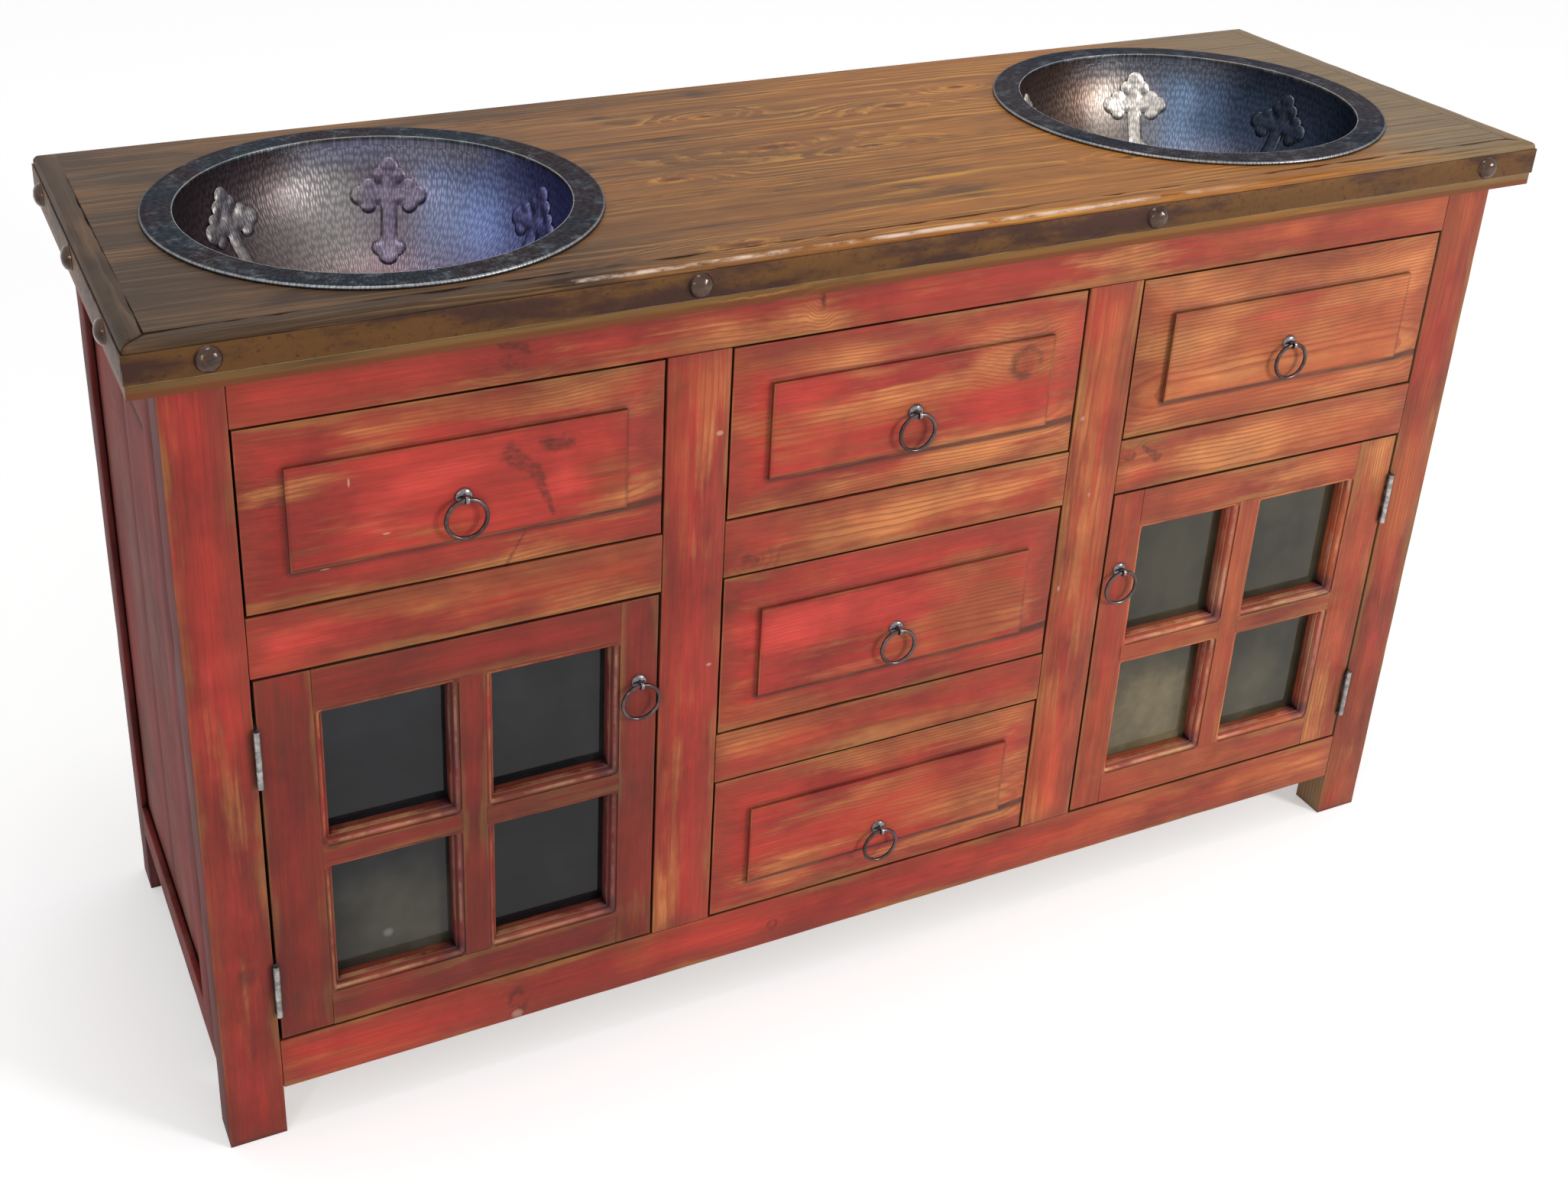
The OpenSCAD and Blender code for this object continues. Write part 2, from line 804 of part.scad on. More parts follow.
module drawer_ring(bay, z, h, drop) {
  ring(bay * (bay_w + stile_w), field_y, z + h / 2 - drop);
}

// Doors, drawn for the right bay and mirrored for the left one

// Places a child at the lower left corner of each pane's opening at the door's face
module panes() {
  for (i = [0, 1])
    for (j = [0, 1])
      translate([
        door_x + pull_stile_w + i * (pane_w + bar_w), 0, door_z + door_bottom_h + j * (pane_h + bar_h)
      ])
        children();
}

// Section of the wood that the moulding takes away: u outwards from the router's turning point, v back from
// the door's face
module mould_section() {
  edge = turn_r + mould_w;
  bead = mould_w - mould_lip - mould_flat;
  difference() {
    translate([0, -over]) square([edge, mould_d + over]);
    translate([edge - mould_lip, mould_d]) circle(r = bead);
    translate([edge - mould_lip, mould_d - bead]) square([2 * mould_lip, bead + over]);
  }
}

// The router's path round one pane: straight runs and quarter turns at the corners
module mould_cut() {
  w = pane_w - 2 * (mould_w + turn_r);
  h = pane_h - 2 * (mould_w + turn_r);
  translate([mould_w + turn_r, door_y, mould_w + turn_r])
    rotate([90, 0, 0])
      mirror([0, 0, 1])
        for (k = [0 : 3]) {
          run = k % 2 == 0 ? w : h;
          corner = [[0, 0], [w, 0], [w, h], [0, h]][k];
          translate(corner)
            rotate(k * 90) {
              translate([run, 0, 0])
                rotate([0, -90, 0])
                  linear_extrude(run) rotate(-90) mirror([1, 0]) mould_section();
              rotate(180) rotate_extrude(angle = 90) mould_section();
            }
        }
}

module door_frame(side) {
  color([0.62, 0.15, 0.11])
    mirrored(side)
      difference() {
        board([door_x, door_y, door_z], [door_x + door_w, door_back_y, door_z + door_h]);
        panes() {
          translate([mould_w, door_y - over, mould_w])
            cube([pane_w - 2 * mould_w, door_t + 2 * over, pane_h - 2 * mould_w]);
        }
        panes() mould_cut();
        panes() {
          translate([mould_w - rebate_w, glass_y, mould_w - rebate_w])
            cube([pane_w - 2 * (mould_w - rebate_w), door_t, pane_h - 2 * (mould_w - rebate_w)]);
        }
        for (z = hinge_zs)
          board(
            [door_x + door_w - leaf_t, face_y - over, z - hinge_l / 2],
            [door_x + door_w + over, face_y + leaf_w, z + hinge_l / 2]
          );
        pull_hole(door_x + pull_stile_w / 2, door_y, catch_z + door_eye_up);
      }
}

module door_glass(side) {
  inset = mould_w - rebate_w + glass_play;
  color([0.16, 0.18, 0.16, 0.6])
    mirrored(side)
      panes() translate([inset, glass_y, inset]) cube([pane_w - 2 * inset, glass_t, pane_h - 2 * inset]);
}

module door_beads(side) {
  inset = mould_w - rebate_w + glass_play;
  color([0.55, 0.36, 0.22])
    mirrored(side)
      panes()
        translate([0, glass_y + glass_t, 0])
          difference() {
            translate([inset, 0, inset]) cube([pane_w - 2 * inset, bead_t, pane_h - 2 * inset]);
            translate([mould_w, -over, mould_w])
              cube([pane_w - 2 * mould_w, bead_t + 2 * over, pane_h - 2 * mould_w]);
          }
}

module door_fittings(side) {
  color([0.62, 0.63, 0.63])
    mirrored(side) {
      for (z = hinge_zs) hinge_half(z, bay_x - door_gap, -1, [1]);
      board(
        [door_x, door_back_y, catch_z - catch_h / 2],
        [door_x + catch_reach, door_back_y + strike_t, catch_z + catch_h / 2]
      );
    }
}

module door_pull(side) {
  pull(side * (door_x + pull_stile_w / 2), door_y, catch_z + door_eye_up);
}

module door_ring(side) {
  ring(side * (door_x + pull_stile_w / 2), door_y, catch_z + door_eye_up);
}

leg(-1, true);  // leg_front_left
leg(1, true);  // leg_front_right
leg(-1, false);  // leg_back_left
leg(1, false);  // leg_back_right
stile(-1);  // stile_left
stile(1);  // stile_right
top_rail();
bottom_rail();
cross_rails();
side_frame(-1);  // side_frame_left
side_frame(1);  // side_frame_right
side_panels();
back_rails();
back_panel();
floor_board();
partitions();
drawer_runners();
top_planks();
top_edging();
iron_band();
band_nails();
sink(-1);  // sink_left
sink(1);  // sink_right
bowl_crosses();
hinge_leaves();
hinge_pins();
door_catches();
drawer_front(-1, top_open_z, top_open_h, eye_drop);  // drawer_left_front
drawer_box(-1, top_open_z, sink_box_h, true);  // drawer_left_box
drawer_pull(-1, top_open_z, top_open_h, eye_drop);  // drawer_left_pull
drawer_ring(-1, top_open_z, top_open_h, eye_drop);  // drawer_left_ring
drawer_front(1, top_open_z, top_open_h, eye_drop);  // drawer_right_front
drawer_box(1, top_open_z, sink_box_h, true);  // drawer_right_box
drawer_pull(1, top_open_z, top_open_h, eye_drop);  // drawer_right_pull
drawer_ring(1, top_open_z, top_open_h, eye_drop);  // drawer_right_ring
drawer_front(0, top_open_z, top_open_h, eye_drop);  // drawer_upper_front
drawer_box(0, top_open_z, top_open_h - box_head, false);  // drawer_upper_box
drawer_pull(0, top_open_z, top_open_h, eye_drop);  // drawer_upper_pull
drawer_ring(0, top_open_z, top_open_h, eye_drop);  // drawer_upper_ring
drawer_front(0, mid_open_z, mid_open_h, eye_drop);  // drawer_middle_front
drawer_box(0, mid_open_z, mid_open_h - box_head, false);  // drawer_middle_box
drawer_pull(0, mid_open_z, mid_open_h, eye_drop);  // drawer_middle_pull
drawer_ring(0, mid_open_z, mid_open_h, eye_drop);  // drawer_middle_ring
drawer_front(0, sill_z, low_open_h, low_eye_drop);  // drawer_lower_front
drawer_box(0, sill_z, low_open_h - box_head, false);  // drawer_lower_box
drawer_pull(0, sill_z, low_open_h, low_eye_drop);  // drawer_lower_pull
drawer_ring(0, sill_z, low_open_h, low_eye_drop);  // drawer_lower_ring
door_frame(-1);  // door_left_frame
door_glass(-1);  // door_left_glass
door_beads(-1);  // door_left_beads
door_fittings(-1);  // door_left_fittings
door_pull(-1);  // door_left_pull
door_ring(-1);  // door_left_ring
door_frame(1);  // door_right_frame
door_glass(1);  // door_right_glass
door_beads(1);  // door_right_beads
door_fittings(1);  // door_right_fittings
door_pull(1);  // door_right_pull
door_ring(1);  // door_right_ring
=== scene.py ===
import json
import math
import random

import bmesh
import bpy
from mathutils import Euler, Matrix, Vector, geometry, noise

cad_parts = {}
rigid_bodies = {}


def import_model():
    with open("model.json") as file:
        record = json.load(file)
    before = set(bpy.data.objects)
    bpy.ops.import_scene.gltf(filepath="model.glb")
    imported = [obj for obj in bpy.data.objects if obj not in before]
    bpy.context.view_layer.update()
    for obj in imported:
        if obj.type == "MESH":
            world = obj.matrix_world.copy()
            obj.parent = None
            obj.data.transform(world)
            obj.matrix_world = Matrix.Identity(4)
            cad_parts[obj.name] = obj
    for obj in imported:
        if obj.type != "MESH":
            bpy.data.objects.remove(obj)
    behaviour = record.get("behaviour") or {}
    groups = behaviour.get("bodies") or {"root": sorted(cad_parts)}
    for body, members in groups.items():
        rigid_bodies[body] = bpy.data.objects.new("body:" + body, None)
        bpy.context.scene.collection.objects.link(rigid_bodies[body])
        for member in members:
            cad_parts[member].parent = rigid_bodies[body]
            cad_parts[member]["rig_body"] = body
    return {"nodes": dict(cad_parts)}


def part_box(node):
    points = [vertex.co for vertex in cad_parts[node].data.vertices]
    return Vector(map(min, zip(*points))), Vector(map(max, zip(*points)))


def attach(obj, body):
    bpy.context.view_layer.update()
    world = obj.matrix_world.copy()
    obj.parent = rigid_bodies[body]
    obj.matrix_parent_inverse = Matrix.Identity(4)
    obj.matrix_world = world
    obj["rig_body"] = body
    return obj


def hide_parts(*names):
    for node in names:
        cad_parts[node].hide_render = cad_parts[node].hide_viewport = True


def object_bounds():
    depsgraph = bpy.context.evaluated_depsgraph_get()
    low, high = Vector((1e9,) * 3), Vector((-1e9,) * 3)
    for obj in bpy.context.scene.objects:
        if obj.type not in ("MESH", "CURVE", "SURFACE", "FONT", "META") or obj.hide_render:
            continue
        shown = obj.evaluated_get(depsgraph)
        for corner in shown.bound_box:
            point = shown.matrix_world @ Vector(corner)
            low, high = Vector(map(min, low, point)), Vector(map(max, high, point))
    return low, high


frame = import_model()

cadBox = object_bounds()
nodes = frame["nodes"]
print("frame loaded,", len(nodes), "nodes")

# Camera, lamps and floor

camera = {
    "place": (-0.9472, -1.6816, 1.549),
    "turn": (63.983, -1.656, -24.599),  # degrees about x, y and z
    "lens": 44.108,
    "shift": (0.0633, -0.1198),
}
lamps = {  # place, side in metres, watts; each looks at the middle of the cabinet
    "keyLamp": ((2.5, -3.3, 1.9), 0.8, 84),
    "fillLamp": ((-2.8, -2.6, 2.0), 0.4, 12),
    "topLamp": ((-0.5, -0.2, 3.2), 0.7, 12),
}
stage = {
    "floor": 30.0, "floorColor": (0.86, 0.86, 0.86, 1), "floorSeen": (0.97, 0.97, 0.97, 1), "floorGlow": 0.34,
    "ambient": 0.60, "white": 1.0,
}


def makeCamera():
    data = bpy.data.cameras.new("camera")
    data.lens = camera["lens"]
    data.shift_x, data.shift_y = camera["shift"]
    data.clip_start = 0.05
    eye = bpy.data.objects.new("camera", data)
    eye.location = camera["place"]
    eye.rotation_euler = Euler([math.radians(a) for a in camera["turn"]])
    bpy.context.scene.collection.objects.link(eye)
    bpy.context.scene.camera = eye


def makeLamps():
    low, high = cadBox
    middle = (low + high) / 2
    for name, (place, side, watts) in lamps.items():
        data = bpy.data.lights.new(name, "AREA")
        data.size, data.energy = side, watts
        lamp = bpy.data.objects.new(name, data)
        lamp.location = place
        lamp.rotation_euler = (middle - Vector(place)).to_track_quat("-Z", "Y").to_euler()
        bpy.context.scene.collection.objects.link(lamp)


# Shader helpers: a socket given as a value is linked, anything else is set

def put(tree, kind, feeds=None, **traits):
    node = tree.nodes.new("ShaderNode" + kind)
    for trait, value in traits.items():
        setattr(node, trait, value)
    for socket, value in (feeds or {}).items():
        if isinstance(value, bpy.types.NodeSocket):
            tree.links.new(value, node.inputs[socket])
        else:
            node.inputs[socket].default_value = value
    return node


def calc(tree, operation, *values):
    return put(tree, "Math", dict(enumerate(values)), operation=operation).outputs[0]


def times(tree, first, second):
    return calc(tree, "MULTIPLY", first, second)


def minus(tree, first, second):
    return calc(tree, "SUBTRACT", first, second)


def scaled(tree, value, factor, rest):
    return calc(tree, "MULTIPLY_ADD", value, factor, rest)


def mixColor(tree, share, first, second, mode="MIX"):
    feeds = {0: share, 6: first, 7: second}
    return put(tree, "Mix", feeds, data_type="RGBA", blend_type=mode).outputs[2]


def ease(tree, value, low, high):
    feeds = {"Value": value, "From Min": low, "From Max": high}
    return put(tree, "MapRange", feeds, interpolation_type="SMOOTHSTEP").outputs[0]


def vectorMath(tree, operation, first, second):
    return put(tree, "VectorMath", {0: first, 1: second}, operation=operation).outputs


def stretch(tree, vector, factors):
    return vectorMath(tree, "MULTIPLY", vector, factors)[0]


def axesOf(tree, vector):
    return put(tree, "SeparateXYZ", {0: vector}).outputs


def lengthOf(tree, vector):
    return put(tree, "VectorMath", {0: vector}, operation="LENGTH").outputs["Value"]


def cloud(tree, vector, scale=1.0, detail=3.0, roughness=0.55):
    feeds = {"Vector": vector, "Scale": scale, "Detail": detail, "Roughness": roughness}
    return put(tree, "TexNoise", feeds).outputs[0]


def streaky(tree, vector, factors, **traits):
    return cloud(tree, stretch(tree, vector, factors), **traits)


def cover(tree, color, tint, share, most):
    return mixColor(tree, times(tree, share, most), color, tint)


def shaded(tree, color, value, factor, rest):
    light = scaled(tree, value, factor, rest)
    grey = put(tree, "CombineColor", {0: light, 1: light, 2: light}).outputs[0]
    return mixColor(tree, 1.0, color, grey, "MULTIPLY")


def newGroup(name, inputs, outputs):
    tree = bpy.data.node_groups.new(name, "ShaderNodeTree")
    for label, value in inputs.items():
        kind = "Vector" if value is None else "Float"
        socket = tree.interface.new_socket(label, in_out="INPUT", socket_type="NodeSocket" + kind)
        if value is not None:
            socket.default_value = value
    for label in outputs:
        tree.interface.new_socket(label, in_out="OUTPUT", socket_type="NodeSocketFloat")
    given = tree.nodes.new("NodeGroupInput").outputs
    result = tree.nodes.new("NodeGroupOutput").inputs
    return tree, given, lambda label, socket: tree.links.new(socket, result[label])


def useGroup(tree, group, feeds=None):
    return put(tree, "Group", feeds, node_tree=group).outputs


def newMaterial(name, **fixed):
    material = bpy.data.materials.new(name)
    material.use_nodes = True
    tree = material.node_tree
    shader = tree.nodes["Principled BSDF"]
    for socket, value in fixed.items():
        shader.inputs[socket.replace("_", " ")].default_value = value
    return material, tree, shader.inputs


def finish(tree, shader, color, roughness, height, depth, strength):
    relief = put(tree, "Bump", {"Height": height, "Distance": depth, "Strength": strength}).outputs[0]
    tree.links.new(color, shader["Base Color"])
    tree.links.new(roughness, shader["Roughness"])
    tree.links.new(relief, shader["Normal"])


def seenShare(tree):
    rays = put(tree, "LightPath").outputs
    share = calc(tree, "MAXIMUM", rays["Is Camera Ray"], rays["Is Glossy Ray"])
    return calc(tree, "MAXIMUM", share, rays["Is Transmission Ray"])


def makeFloor():
    bm = bmesh.new()
    bmesh.ops.create_grid(bm, x_segments=1, y_segments=1, size=stage["floor"])
    mesh = bpy.data.meshes.new("floor")
    bm.to_mesh(mesh)
    bm.free()
    floor = bpy.data.objects.new("floor", mesh)
    bpy.context.scene.collection.objects.link(floor)
    material, tree, shader = newMaterial("floorPaper", Roughness=0.9, Emission_Color=(1, 1, 1, 1))
    share = seenShare(tree)
    tree.links.new(mixColor(tree, share, stage["floorColor"], stage["floorSeen"]), shader["Base Color"])
    tree.links.new(times(tree, share, stage["floorGlow"]), shader["Emission Strength"])
    material.cycles.emission_sampling = "NONE"
    mesh.materials.append(material)
    world = bpy.data.worlds.new("room")
    bpy.context.scene.world = world
    world.use_nodes = True
    tree = world.node_tree
    span = stage["white"] - stage["ambient"]
    strength = scaled(tree, seenShare(tree), span, stage["ambient"])
    background = tree.nodes["Background"].inputs
    background["Color"].default_value = (1, 1, 1, 1)
    tree.links.new(strength, background["Strength"])


makeCamera()
makeLamps()
makeFloor()
bpy.context.scene.view_settings.view_transform = "Standard"
print("stage set")

# Wood patterns. Each board carries "spot", its place along, through and across the board from the board's
# middle in metres, "half", its half sizes in that order, "shift", its own place in the pattern, "tone", which
# is over 0 for a rubbed board, and "wash", the bare, pink and brown places listed on the front. The
# top's edging has "lip", where its front edge is worn pale and painted with a highlight, and a door's
# moulding has "bruise", which is 1 at the panes' corners, where the paint is dark

grainLook = {
    "pith": 0.05, "wander": 0.03, "fibre": (14, 420, 420), "cells": (4.2, 0, 7.5), "perCell": 14,
    "ragged": 1.3, "bend": 3.0, "ripple": 1.2,
}
farOff = 99.0  # a reach at which no knot shows
frontKnots = [  # x, z, half length, half height
    (-0.417, 0.828, 0.011, 0.007), (-0.110, 0.842, 0.004, 0.008), (0.127, 0.738, 0.014, 0.014),
    (-0.378, 0.744, 0.014, 0.007), (-0.171, 0.567, 0.008, 0.005), (-0.608, 0.352, 0.009, 0.007),
    (-0.425, 0.081, 0.008, 0.015), (-0.123, 0.086, 0.005, 0.005), (0.283, 0.599, 0.006, 0.005),
]
frontNicks = [  # x, z, half length, half height
    (-0.213, 0.718, 0.004, 0.003), (0.212, 0.447, 0.002, 0.004), (0.214, 0.656, 0.003, 0.003),
    (-0.578, 0.741, 0.0012, 0.005), (-0.546, 0.683, 0.004, 0.0012), (-0.602, 0.655, 0.005, 0.001),
    (-0.425, 0.066, 0.007, 0.006), (-0.215, 0.455, 0.003, 0.002), (0.236, 0.560, 0.002, 0.003),
]
frontSmears = [  # dark streaks by the knots: x, z and half width at each end
    (-0.427, 0.741, 0.010, -0.404, 0.718, 0.007), (-0.404, 0.720, 0.007, -0.386, 0.670, 0.002),
    (-0.398, 0.747, 0.003, -0.368, 0.741, 0.005), (-0.412, 0.655, 0.001, -0.430, 0.620, 0.002),
    (-0.430, 0.846, 0.006, -0.410, 0.840, 0.004), (-0.178, 0.571, 0.005, -0.166, 0.567, 0.003),
    (0.300, 0.607, 0.002, 0.322, 0.590, 0.006), (-0.110, 0.850, 0.003, -0.108, 0.835, 0.002),
]
topKnots = [  # x, y, half length, half width
    (-0.039, 0.027, 0.036, 0.009), (0.152, 0.112, 0.026, 0.008), (0.058, -0.004, 0.024, 0.005),
    (-0.182, -0.029, 0.020, 0.008), (0.258, 0.150, 0.018, 0.006), (-0.195, -0.215, 0.030, 0.008),
    (-0.067, 0.145, 0.018, 0.006), (0.30, -0.13, 0.020, 0.006),
]


def makeReachGroup(name, places, upright):
    # how far a place is from the nearest mark, in half sizes of that mark
    tree, given, give = newGroup(name, {"Vector": None}, ["Reach"])
    reach = farOff
    for x, other, half, tall in places:
        middle = (x, 0, other) if upright else (x, other, 0)
        factors = (1 / half, 0, 1 / tall) if upright else (1 / half, 1 / tall, 0)
        away = vectorMath(tree, "SUBTRACT", given["Vector"], middle)[0]
        away = lengthOf(tree, stretch(tree, away, factors))
        reach = calc(tree, "MINIMUM", reach, away)
    give("Reach", reach)
    return tree


smearLook = {"torn": 90, "ragged": 1.6, "edge": (1.4, 0.5)}


def makeSmearGroup(name, strokes):
    tree, given, give = newGroup(name, {"Vector": None}, ["Smear"])
    flat = stretch(tree, given["Vector"], (1, 0, 1))
    torn = cloud(tree, given["Vector"], scale=smearLook["torn"], detail=4, roughness=0.65)
    most = 0.0
    for x, z, width, farX, farZ, farWidth in strokes:
        span = Vector((farX - x, 0, farZ - z))
        start = vectorMath(tree, "SUBTRACT", flat, (x, 0, z))[0]
        share = vectorMath(tree, "DOT_PRODUCT", start, tuple(span / span.length_squared))["Value"]
        share = calc(tree, "MINIMUM", 1.0, calc(tree, "MAXIMUM", 0.0, share))
        along = put(tree, "VectorMath", {0: tuple(span), "Scale": share}, operation="SCALE").outputs[0]
        away = put(tree, "VectorMath", {0: start, 1: along}, operation="DISTANCE").outputs["Value"]
        away = calc(tree, "DIVIDE", away, scaled(tree, share, farWidth - width, width))
        away = scaled(tree, torn, smearLook["ragged"], minus(tree, away, smearLook["ragged"] / 2))
        most = calc(tree, "MAXIMUM", most, ease(tree, away, *smearLook["edge"]))
    give("Smear", most)
    return tree


def makeGrainGroup():
    inputs = {"Vector": None, "Knots": 0.35, "Reach": farOff, "Ring": 0.005}
    look = grainLook
    tree, given, give = newGroup("woodGrain", inputs, ["Rings", "Fibre", "Knot", "Heart"])
    at = given["Vector"]
    cell = put(tree, "TexVoronoi", {"Vector": stretch(tree, at, look["cells"]), "Scale": 1.0})
    chance = put(tree, "SeparateColor", {0: cell.outputs["Color"]}).outputs[0]
    there = calc(tree, "LESS_THAN", chance, given["Knots"])
    away = cell.outputs["Distance"]
    wobble = streaky(tree, at, (70, 90, 90), detail=4, roughness=0.65)
    reach = scaled(tree, wobble, look["ragged"], minus(tree, given["Reach"], look["ragged"] / 2))
    away = times(tree, away, look["perCell"])
    scattered = scaled(tree, minus(tree, 1.0, there), farOff, away)
    reach = calc(tree, "MINIMUM", reach, scattered)
    near = ease(tree, reach, 5.0, 0.6)
    wander = streaky(tree, at, (2.4, 7, 7), detail=2)
    ripple = streaky(tree, at, (9, 40, 40), detail=3)
    axes = axesOf(tree, at)
    side = scaled(tree, wander, look["wander"], axes[2])
    through = calc(tree, "ADD", axes[1], look["pith"])
    square = calc(tree, "ADD", times(tree, side, side), times(tree, through, through))
    phase = calc(tree, "DIVIDE", calc(tree, "SQRT", square), given["Ring"])
    phase = scaled(tree, near, look["bend"], phase)
    phase = scaled(tree, ripple, look["ripple"], phase)
    saw = calc(tree, "FRACT", phase)
    give("Rings", times(tree, ease(tree, saw, 0.4, 0.88), ease(tree, saw, 1.0, 0.92)))
    give("Fibre", streaky(tree, at, look["fibre"], detail=4, roughness=0.7))
    broken = ease(tree, streaky(tree, at, (55, 55, 55), detail=3), 0.36, 0.60)
    band = times(tree, ease(tree, reach, 0.55, 0.95), ease(tree, reach, 1.7, 1.05))
    crack = times(tree, ease(tree, wobble, 0.56, 0.66), ease(tree, reach, 1.0, 0.7))
    give("Knot", calc(tree, "MAXIMUM", times(tree, band, broken), crack))
    give("Heart", ease(tree, reach, 1.3, 0.4))
    return tree


edgeLook = {"samples": 6, "worn": (0.02, 0.16), "reach": 0.009, "grimeAndShade": (0.95, 0.5)}


def makeEdgeGroup():
    inputs = {"Vector": None, "Width": 0.005}
    tree, given, give = newGroup("edgeWearAndShade", inputs, ["Edge", "GrimeAndShade"])
    round_ = put(tree, "Bevel", {"Radius": given["Width"]}, samples=edgeLook["samples"]).outputs[0]
    flat = put(tree, "NewGeometry").outputs["Normal"]
    turn = minus(tree, 1.0, vectorMath(tree, "DOT_PRODUCT", round_, flat)["Value"])
    rough = cloud(tree, given["Vector"], scale=55, detail=3)
    turn = times(tree, turn, scaled(tree, rough, 1.7, 0.15))
    give("Edge", ease(tree, turn, *edgeLook["worn"]))
    # the second output darkens creases and recesses by ambient occlusion: grime, and painted shade where
    # shade falls
    feeds = {"Distance": edgeLook["reach"]}
    shade = put(tree, "AmbientOcclusion", feeds, samples=edgeLook["samples"]).outputs["AO"]
    shade = scaled(tree, rough, 0.3, shade)
    give("GrimeAndShade", ease(tree, shade, *edgeLook["grimeAndShade"]))
    return tree


def makeInsetGroup():
    # how far a place is from the nearest end or side of its board, in metres
    tree, given, give = newGroup("boardInset", {"Spot": None, "Half": None}, ["Inset", "Side"])
    away = put(tree, "VectorMath", {0: given["Spot"]}, operation="ABSOLUTE").outputs[0]
    left = axesOf(tree, vectorMath(tree, "SUBTRACT", given["Half"], away)[0])
    give("Inset", calc(tree, "MINIMUM", left[0], left[2]))
    give("Side", left[2])
    return tree


grainGroup, edgeGroup, insetGroup = makeGrainGroup(), makeEdgeGroup(), makeInsetGroup()
knotGroup = makeReachGroup("frontKnots", frontKnots, True)
nickGroup = makeReachGroup("frontNicks", frontNicks, True)
topKnotGroup = makeReachGroup("topKnots", topKnots, False)
smearGroup = makeSmearGroup("frontSmears", frontSmears)


# The doors' sizes, which their paint and their meshes share

doorLook = {
    "pullStile": 0.040, "hingeStile": 0.053, "topRail": 0.044, "bottomRail": 0.041, "bar": 0.026,
    "sill": 0.020, "edge": 0.0006, "pitch": 0.03, "depth": 0.0003,
    "tones": {-1: -0.19, 1: -0.04},  # how rubbed the left and the right door are
}
mouldLook = {
    "width": 0.009, "depth": 0.007, "lip": 0.001, "flat": 0.002, "rebate": 0.006, "glass": 0.0195, "turns": 6,
    "pitch": 0.005, "wear": 0.0003, "nick": 0.00002, "bruise": 0.016,
    "margin": 0.06,  # added to "half", so that the paint's dark ends of boards stay off the mouldings
}
# the light lines are a painted highlight on the bead, mixed with worn paint; the dark lines are painted shade
# in the moulding's grooves
mouldLines = {  # place along the section, half width and strength
    "Light": [(0.0025, 0.0032, 0.8), (-0.0092, 0.0034, 0.9)],
    "GrooveShade": [(0.0068, 0.0008, 0.8), (-0.0050, 0.0009, 0.7), (-0.0138, 0.0012, 0.5)],
}
mouldPaint = {"sides": (0.0091, 0.0087), "front": (0.0002, 0.0008), "wander": 0.0012, "fade": 0.3}


def makeMouldGroup():
    # how far a place on a door lies along the moulding's section, from 0.008 at its outer edge to the glass
    tree, given, give = newGroup("paneMoulding", {"Vector": None}, ["Light", "GrooveShade"])
    low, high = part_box("door_right_frame")
    look, paint = doorLook, mouldPaint
    left, right = low.x + look["pullStile"], high.x - look["hingeStile"]
    bottom, top = low.z + look["bottomRail"], high.z - look["topRail"]
    wide, tall = (right - left - look["bar"]) / 2, (top - bottom - look["sill"]) / 2
    axes = axesOf(tree, given["Vector"])
    across, depth = calc(tree, "ABSOLUTE", axes[0]), minus(tree, axes[1], low.y)
    away = []
    for place, first, last, size in ((across, left, right, wide), (axes[2], bottom, top, tall)):
        near = calc(tree, "ABSOLUTE", minus(tree, place, first + size / 2))
        far = calc(tree, "ABSOLUTE", minus(tree, place, last - size / 2))
        away.append(minus(tree, calc(tree, "MINIMUM", near, far), size / 2 - mouldLook["width"]))
    away = calc(tree, "MAXIMUM", away[0], away[1])
    inside = times(tree, ease(tree, away, *paint["sides"]), ease(tree, depth, *paint["front"]))
    wander = cloud(tree, given["Vector"], scale=70, detail=3)
    section = minus(tree, minus(tree, away, depth), paint["wander"] / 2)
    section = scaled(tree, wander, paint["wander"], section)
    for label, lines in mouldLines.items():
        most = 0.0
        for middle, half, share in lines:
            near = calc(tree, "ABSOLUTE", minus(tree, section, middle))
            line = times(tree, ease(tree, near, half, half * paint["fade"]), share)
            most = calc(tree, "MAXIMUM", most, line)
        give(label, times(tree, most, inside))
    return tree


mouldGroup = makeMouldGroup()


def ownVector(tree, name):
    return put(tree, "Attribute", attribute_name=name).outputs["Vector"]


def ownValue(tree, name):
    return put(tree, "Attribute", attribute_name=name).outputs["Fac"]


def grainVector(tree):
    return vectorMath(tree, "ADD", ownVector(tree, "spot"), ownVector(tree, "shift"))[0]


def objectVector(tree):
    return put(tree, "TexCoord").outputs["Object"]


frontPaint = {
    "full": (0.45, 0.039, 0.027, 1), "deep": (0.235, 0.024, 0.018, 1), "pink": (0.66, 0.064, 0.048, 1),
    "bare": (0.42, 0.108, 0.036, 1), "tan": (0.65, 0.255, 0.080, 1), "brown": (0.15, 0.038, 0.018, 1),
    "line": (0.25, 0.040, 0.017, 1), "edge": (0.37, 0.18, 0.05, 1), "knot": (0.06, 0.016, 0.010, 1),
    "heart": (0.30, 0.035, 0.018, 1), "nick": (0.50, 0.27, 0.20, 1), "dirtAndShade": (0.02, 0.008, 0.006, 1),
    "bead": (0.50, 0.15, 0.075, 1), "orange": (0.54, 0.145, 0.043, 1), "bruise": (0.075, 0.024, 0.038, 1),
    "amount": 0.0, "knots": 0.05, "ring": 0.0036, "shine": 0.25,
}
